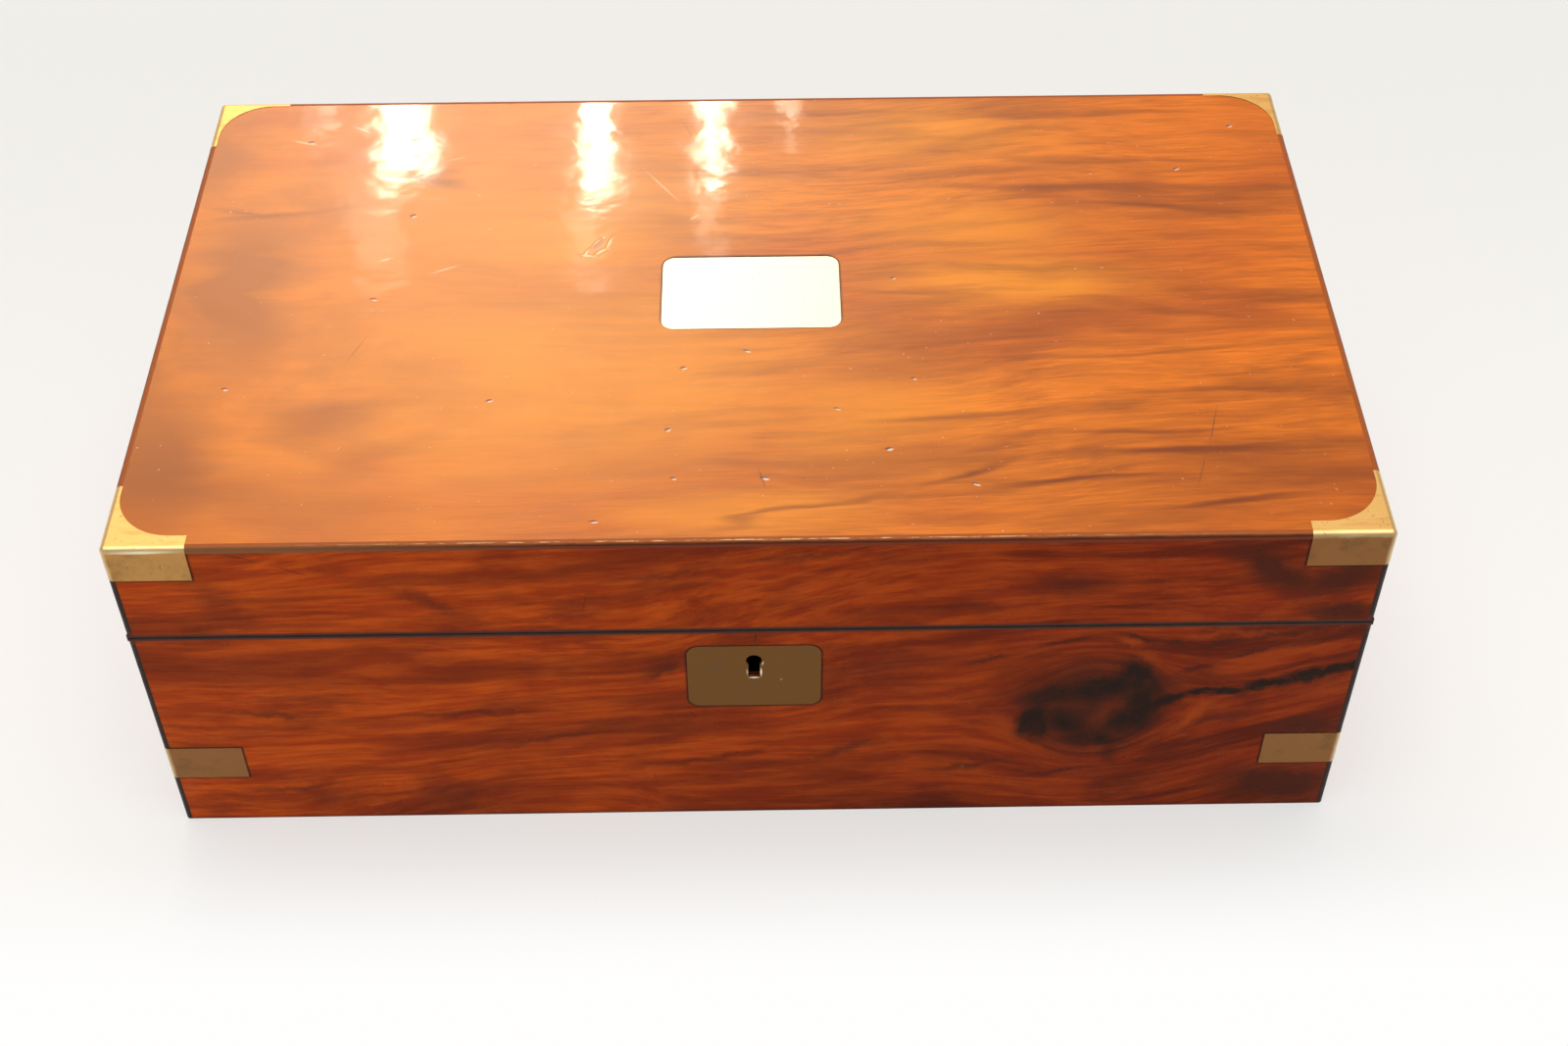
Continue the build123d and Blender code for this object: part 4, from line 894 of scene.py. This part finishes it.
# lighter patches: partly faded wood, partly a painted sheen of the polish
faded = on_lid(
    tree, torn, (-120, -45, 0, -45, 160, 0.95), (-110, 40, -30, 60, 110, 0.85),
    (20, 110, 130, 104, 60, 0.8), (10, -75, 70, -65, 80, 0.7), (60, 44, 130, 34, 60, 0.6),
    (50, 10, 150, 6, 45, 1.0), (-60, -120, 60, -117, 32, 0.7))
colour = painted(tree, colour, faded, 0.85, LID_FADED_SHEEN)
right = fade(tree, axes["X"], -0.14, 0.10, 0.15, 1.0)
streaked = plus(tree, times(tree, wide["Streaks"], 0.50), times(tree, fine["Streaks"], 0.36))
colour = tint(tree, times(tree, streaked, right), colour, LID_DEEP)
# the left end is painted a hazier brown in blotches and handled patches: partly handling, partly a
# painted sheen of the polish
left = fade(tree, axes["X"], -0.225, -0.10, 1.0, 0.25)
blotches = fade(tree, noise(tree, place, 13.0, 5.0, 0.62), 0.42, 0.66)
colour = painted(tree, colour, times(tree, left, blotches), 0.75, LID_HAZE)
handled_and_sheen = on_lid(
    tree, torn, (-235, -40, -208, -128, 75, 0.9), (-210, -96, -140, -118, 50, 0.4),
    (-230, 30, -205, -40, 40, 0.6), (-185, -60, -140, -90, 40, 0.45),
    (-230, 110, -215, 60, 30, 0.5), (-205, 60, -195, -45, 65, 0.95))
colour = tint(tree, handled_and_sheen, colour, LID_HAZE)
bands = on_lid(
    tree, torn, (50, 118, 229, 121, 5, 0.35), (70, 90, 229, 80, 6, 0.45),
    (40, 68, 229, 66, 7, 0.55), (110, 58, 229, 52, 6, 0.55), (20, 6, 110, -4, 5, 0.3),
    (110, -4, 229, -22, 6, 0.4), (60, -40, 229, -30, 4, 0.4), (20, -72, 130, -66, 6, 0.45),
    (80, -82, 210, -74, 5, 0.6), (95, -93, 229, -87, 8, 0.95), (60, -112, 180, -98, 6, 0.8),
    (120, -122, 229, -112, 6, 0.8), (-30, -128, 60, -108, 4, 0.5), (55, -108, 112, -90, 5, 0.7),
    (150, -60, 229, -54, 5, 0.5), (-190, -76, -120, -56, 18, 0.25),
    (-160, -98, -100, -72, 16, 0.2), (-140, 84, -112, 74, 15, 0.45), (-228, 50, -150, 60, 6, 0.4),
    (-225, 62, -180, 52, 8, 0.35), (120, -112, 232, -100, 80, 0.3),
    (-228, -90, -190, -110, 50, 0.3))
colour = tint(tree, bands, colour, LID_DEEP)
worn = near_arris(tree, place, 0.003)
colour = painted(tree, colour, worn, 0.5, LID_ARRIS)

# knocks and scratches; each nick has a torn lip beside it, always on the same side, painted bright
# as its highlight; the crescent dent gets a painted highlight on its rim and painted shade in its
# hollow, and the glints along scratches are painted highlights
NICKS = ((-198.5, -50.5), (-2, -32), (31.5, -65), (56.5, 10), (-57, -122.5), (4, -101.5),
         (50, -87.5), (80, -105.5), (-28.5, -101), (-31, -76), (-26, -42), (61.5, -49),
         (-98.5, -59), (205, 108.5), (178, 78.5), (-187, 104), (-138, 53), (-148.5, 1))
NICK_TURNS, NICK_REACHES, NICK_WIDTHS = (-0.4, 0.7), (1.2, 3.2), (1.0, 1.7)
NICK_STRENGTH = 1.3
LIP = (0.6, -0.7, 0.8)       # how far across and along the lip lies, and its share of the width
dice = random.Random(7)
nicks, lip_highlights = [], []
for x, y in NICKS:
    turn, reach, width = [dice.uniform(*span) for span in (NICK_TURNS, NICK_REACHES, NICK_WIDTHS)]
    x1, y1 = x + reach * math.cos(turn), y + reach * math.sin(turn)
    nicks.append((x, y, x1, y1, width, NICK_STRENGTH))
    lip_highlights.append((x + LIP[0], y + LIP[1], x1 + LIP[0], y1 + LIP[1], width * LIP[2], NICK_STRENGTH))
dents = on_lid(tree, place, *nicks)
crescent = on_lid(
    tree, place, (-68, 26.5, -61, 25.5, 2.2, 1.3), (-62, 26, -56.5, 31, 2.4, 1.3),
    (-57.5, 29, -54.5, 39, 2.0, 1.3), (-66.5, 24.5, -63.5, 31.5, 1.6, 1.2),
    (-63.5, 31.5, -58.5, 38, 1.6, 1.0))
hollow_shade = on_lid(tree, place, (-63, 29, -58, 37, 4.5, 1.0))
scratches = on_lid(
    tree, place, (175.5, -63, 168, -90, 0.7, 1.1), (168, -88, 160, -113, 0.6, 1.0),
    (3, -96, 6, -108, 0.8, 1.2), (-30, 122, -20, 96, 0.5, 0.6), (-155, -40, -146, -18, 0.6, 0.6))
glints = on_lid(
    tree, place, (-128.5, 15, -113.5, 22, 1.0, 1.2), (-45, 85, -26, 57, 0.9, 1.0),
    (-170, 116, -160, 110, 1.2, 1.2), (-195, 106, -182, 102, 1.6, 1.2),
    (-144, 74, -128, 92, 1.0, 1.1), (-128, 90, -118, 93, 0.8, 1.0), (-24, 48, -20, 52, 1.4, 1.2),
    (-75, 105, -72, 98, 1.2, 1.2), (-148, 24, -143, 26, 1.6, 1.2))
for mask, share, paint in (
        (dents, 0.75, NICK_DARK), (on_lid(tree, place, *lip_highlights), 0.8, NICK_HIGHLIGHT),
        (hollow_shade, 0.5, LID_DEEP), (crescent, 0.65, DENT_HIGHLIGHT), (scratches, 0.7, SCRATCH_DARK),
        (glints, 0.5, SCRATCH_GLINT)):
    colour = painted(tree, colour, mask, share, paint)

# the face that looks into the box is bare mahogany
upper_face = fade(tree, axes["Z"], HEIGHT - 0.0035, HEIGHT - 0.0015)
seam = times(tree, let_in(tree, place, "name_plate", 0.006, "Z"), upper_face)
colour = painted(tree, colour, seam, 0.8, LID_CRACK)
bare = tint(tree, fade(tree, fine["Lines"], 0.30, 0.70), MAHOGANY_LIGHT, MAHOGANY_DARK)
colour = tint(tree, upper_face, bare, colour)
dust = fade(tree, noise(tree, place, 520.0, 1.0), 0.77, 0.80)
colour = painted(tree, colour, dust, 0.4, DUST)
waves = stretched(tree, place, (46.0, 60.0, 1.0), 2.5, 0.5)
orange_peel = noise(tree, place, 330.0, 2.0)
ripple = plus(tree, times(tree, waves, 0.60), times(tree, orange_peel, 0.030))
relief = minus(tree, ripple, plus(tree, crescent, dents))
gloss = fade(tree, stretched(tree, place, (25.0, 40.0, 1.0), 4.0), 0.3, 0.7, 0.045, 0.08)
dull = fade(tree, axes["Z"], HEIGHT - 0.0015, HEIGHT - 0.0035, 0.0, 0.5)
gloss = larger(tree, gloss, dull)
polished(tree, colour, gloss, relief, coat=times(tree, upper_face, 0.25), coat_roughness=0.42,
         specular=0.35, depth=0.00020)
dress(top_material, "lid_top")

# ------------------------ writing flaps
# Each flap is a walnut board with a sunk field of dark green leather inside a veneered border.
# The leather has a border of two gold-tooled lines.
LEATHER_X = 0.2041                                      # half its width
FLAPS = {"upper": (-0.11452, 0.08705), "lower": (-0.13588, 0.10841)}   # middle, half length
GOLD_LINES = ((0.0060, 0.00035), (0.0078, 0.0009))      # place from the edge and half width
GOLD_SOFT = 0.0002                                      # how far each fades out at its sides
LEATHER_DARK = (0.010, 0.030, 0.018, 1)
LEATHER_LIGHT = (0.030, 0.075, 0.045, 1)
LEATHER_RUBBED = (0.085, 0.105, 0.060, 1)
GOLD = (0.85, 0.56, 0.20, 1)
dress(plain_walnut("flap_walnut", False, (0.55, 0.35, 0.9)),
      "upper_flap_board", "lower_flap_board")


def writing_leather(name, middle, half):
    """Leather with gold lines that follow its edges at set distances."""
    material, tree = new_material(name)
    place = own_place(tree)
    down = from_hinge(tree, place, DOWN_SEAM)
    across = maths(tree, "ABSOLUTE", parts_of(tree, place)["X"])
    along = maths(tree, "ABSOLUTE", minus(tree, down, middle))
    edge = smaller(tree, minus(tree, LEATHER_X, across), minus(tree, half, along))
    grain = wire(tree, "TexVoronoi", {"Vector": place, "Scale": 1100.0}, feature="F1")
    hide = noise(tree, place, 24.0, 5.0, 0.6)
    colour = tint(tree, fade(tree, hide, 0.3, 0.7), LEATHER_DARK, LEATHER_LIGHT)
    rubbed = fade(tree, noise(tree, place, 9.0, 4.0, 0.65), 0.52, 0.75)
    colour = painted(tree, colour, rubbed, 0.4, LEATHER_RUBBED)
    gold = None
    for distance, width in GOLD_LINES:
        near = maths(tree, "ABSOLUTE", minus(tree, edge, distance))
        one = fade(tree, near, width, width + GOLD_SOFT, 1.0, 0.0)
        gold = one if gold is None else larger(tree, gold, one)
    gold = times(tree, gold, fade(tree, noise(tree, place, 380.0, 3.0), 0.34, 0.44))
    colour = tint(tree, gold, colour, GOLD)
    relief = minus(tree, grain.outputs["Distance"], gold)
    surfaced(tree, {
        "Base Color": colour, "Metallic": gold,
        "Roughness": fade(tree, rubbed, 0.0, 1.0, 0.52, 0.38),
        "Normal": bumped(tree, relief, 0.8, 0.00012), "Specular IOR Level": 0.35})
    return material


for flap, (middle, half) in FLAPS.items():
    dress(writing_leather(f"{flap}_flap_leather", middle, half), f"{flap}_flap_leather")

# ------------------------ ribbon tabs
# A tab of crimson silk ribbon lifts each flap.  One end is glued down the free edge of the board
# and the other lies loose on its border, cut to a swallow tail.
TAB_WIDTH, TAB_THICK, TAB_LIFT = 0.012, 0.00012, 0.00008
TAB_ON_TOP, TAB_DOWN, TAIL_CUT = 0.0132, 0.0046, 0.0020
TAB_STEPS, DOWN_STEPS, TOP_STEPS = 8, 4, 10     # across the ribbon, down the edge and on top
TAIL_STEPS = 3                                  # of the top ones, those that the tail is cut in
FREE_EDGES = {"upper": (-0.21557, 1), "lower": (-0.25829, -1)}   # place down the slope, way up
SILK_DARK = (0.26, 0.014, 0.012, 1)
SILK_LIGHT = (0.46, 0.040, 0.028, 1)
SILK_SHEEN = (1.0, 0.45, 0.35, 1)
RIB_PITCH = 0.0007
silk_material, tree = new_material("crimson_silk")
place = own_place(tree)
axes = parts_of(tree, place)
ribs = maths(tree, "SINE", times(tree, axes["Y"], 2 * math.pi / RIB_PITCH))
faded = noise(tree, place, 160.0, 3.0)
colour = tint(tree, fade(tree, faded, 0.35, 0.7), SILK_DARK, SILK_LIGHT)
surfaced(tree, {
    "Base Color": colour, "Roughness": fade(tree, faded, 0.3, 0.7, 0.48, 0.62),
    "Specular IOR Level": 0.25, "Sheen Weight": 0.15, "Sheen Tint": SILK_SHEEN,
    "Normal": bumped(tree, ribs, 0.6, 0.00004)})

for flap, (edge, way_up) in FREE_EDGES.items():
    face = Vector(HINGE) - Vector(SQUARE_TO_SEAM) * RIM * way_up    # the plane of the board's face
    out = Vector(SQUARE_TO_SEAM) * way_up
    path = [(edge - TAB_LIFT, -TAB_DOWN * (1 - step / DOWN_STEPS))
            for step in range(DOWN_STEPS + 1)]
    path += [(edge + TAB_ON_TOP * step / TOP_STEPS, TAB_LIFT) for step in range(TOP_STEPS + 1)]
    uncut = len(path) - 1 - TAIL_STEPS
    bm = bmesh.new()
    rows = []
    for station, (down, height) in enumerate(path):
        row = []
        for step in range(TAB_STEPS + 1):
            across = 2 * step / TAB_STEPS - 1
            tail = TAIL_CUT * (1 - abs(across)) * max(0.0, (station - uncut) / TAIL_STEPS)
            spot = face + Vector((across * TAB_WIDTH / 2, 0, 0))
            row.append(bm.verts.new(spot + Vector(DOWN_SEAM) * (down - tail) + out * height))
        rows.append(row)
    for row, after in zip(rows, rows[1:]):
        for step in range(TAB_STEPS):
            bm.faces.new((row[step], row[step + 1], after[step + 1], after[step]))
    tab = new_piece(f"{flap}_flap_ribbon_tab", bm, silk_material, smooth=True)
    thicken = tab.modifiers.new("thickness", "SOLIDIFY")
    thicken.thickness = TAB_THICK
    thicken.offset = 0.0
    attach(tab, f"{flap}_flap")

# ------------------------ glass and steel
# Two square wells of thick clear glass stand in their bays, and the lock's bolt is filed steel.
GLASS_GREEN = (0.86, 0.95, 0.92, 1)
STEEL_DARK = (0.30, 0.29, 0.28, 1)
STEEL_LIGHT = (0.62, 0.61, 0.60, 1)
well_material, tree = new_material("clear_well_glass")
surfaced(tree, {
    "Base Color": GLASS_GREEN, "Roughness": 0.03, "IOR": 1.5, "Transmission Weight": 1.0})
dress(well_material, "inkwell_glass_left", "inkwell_glass_right")

steel_material, tree = new_material("filed_steel")
place = own_place(tree)
filed = stretched(tree, place, (300.0, 2000.0, 4000.0), 2.0)
surfaced(tree, {
    "Base Color": tint(tree, filed, STEEL_DARK, STEEL_LIGHT), "Metallic": 1.0,
    "Roughness": fade(tree, filed, 0.3, 0.7, 0.28, 0.42),
    "Normal": bumped(tree, filed, 0.5, 0.00003)})
dress(steel_material, "lock_bolt")

# ------------------------ sizes of the scene's objects
low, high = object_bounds()
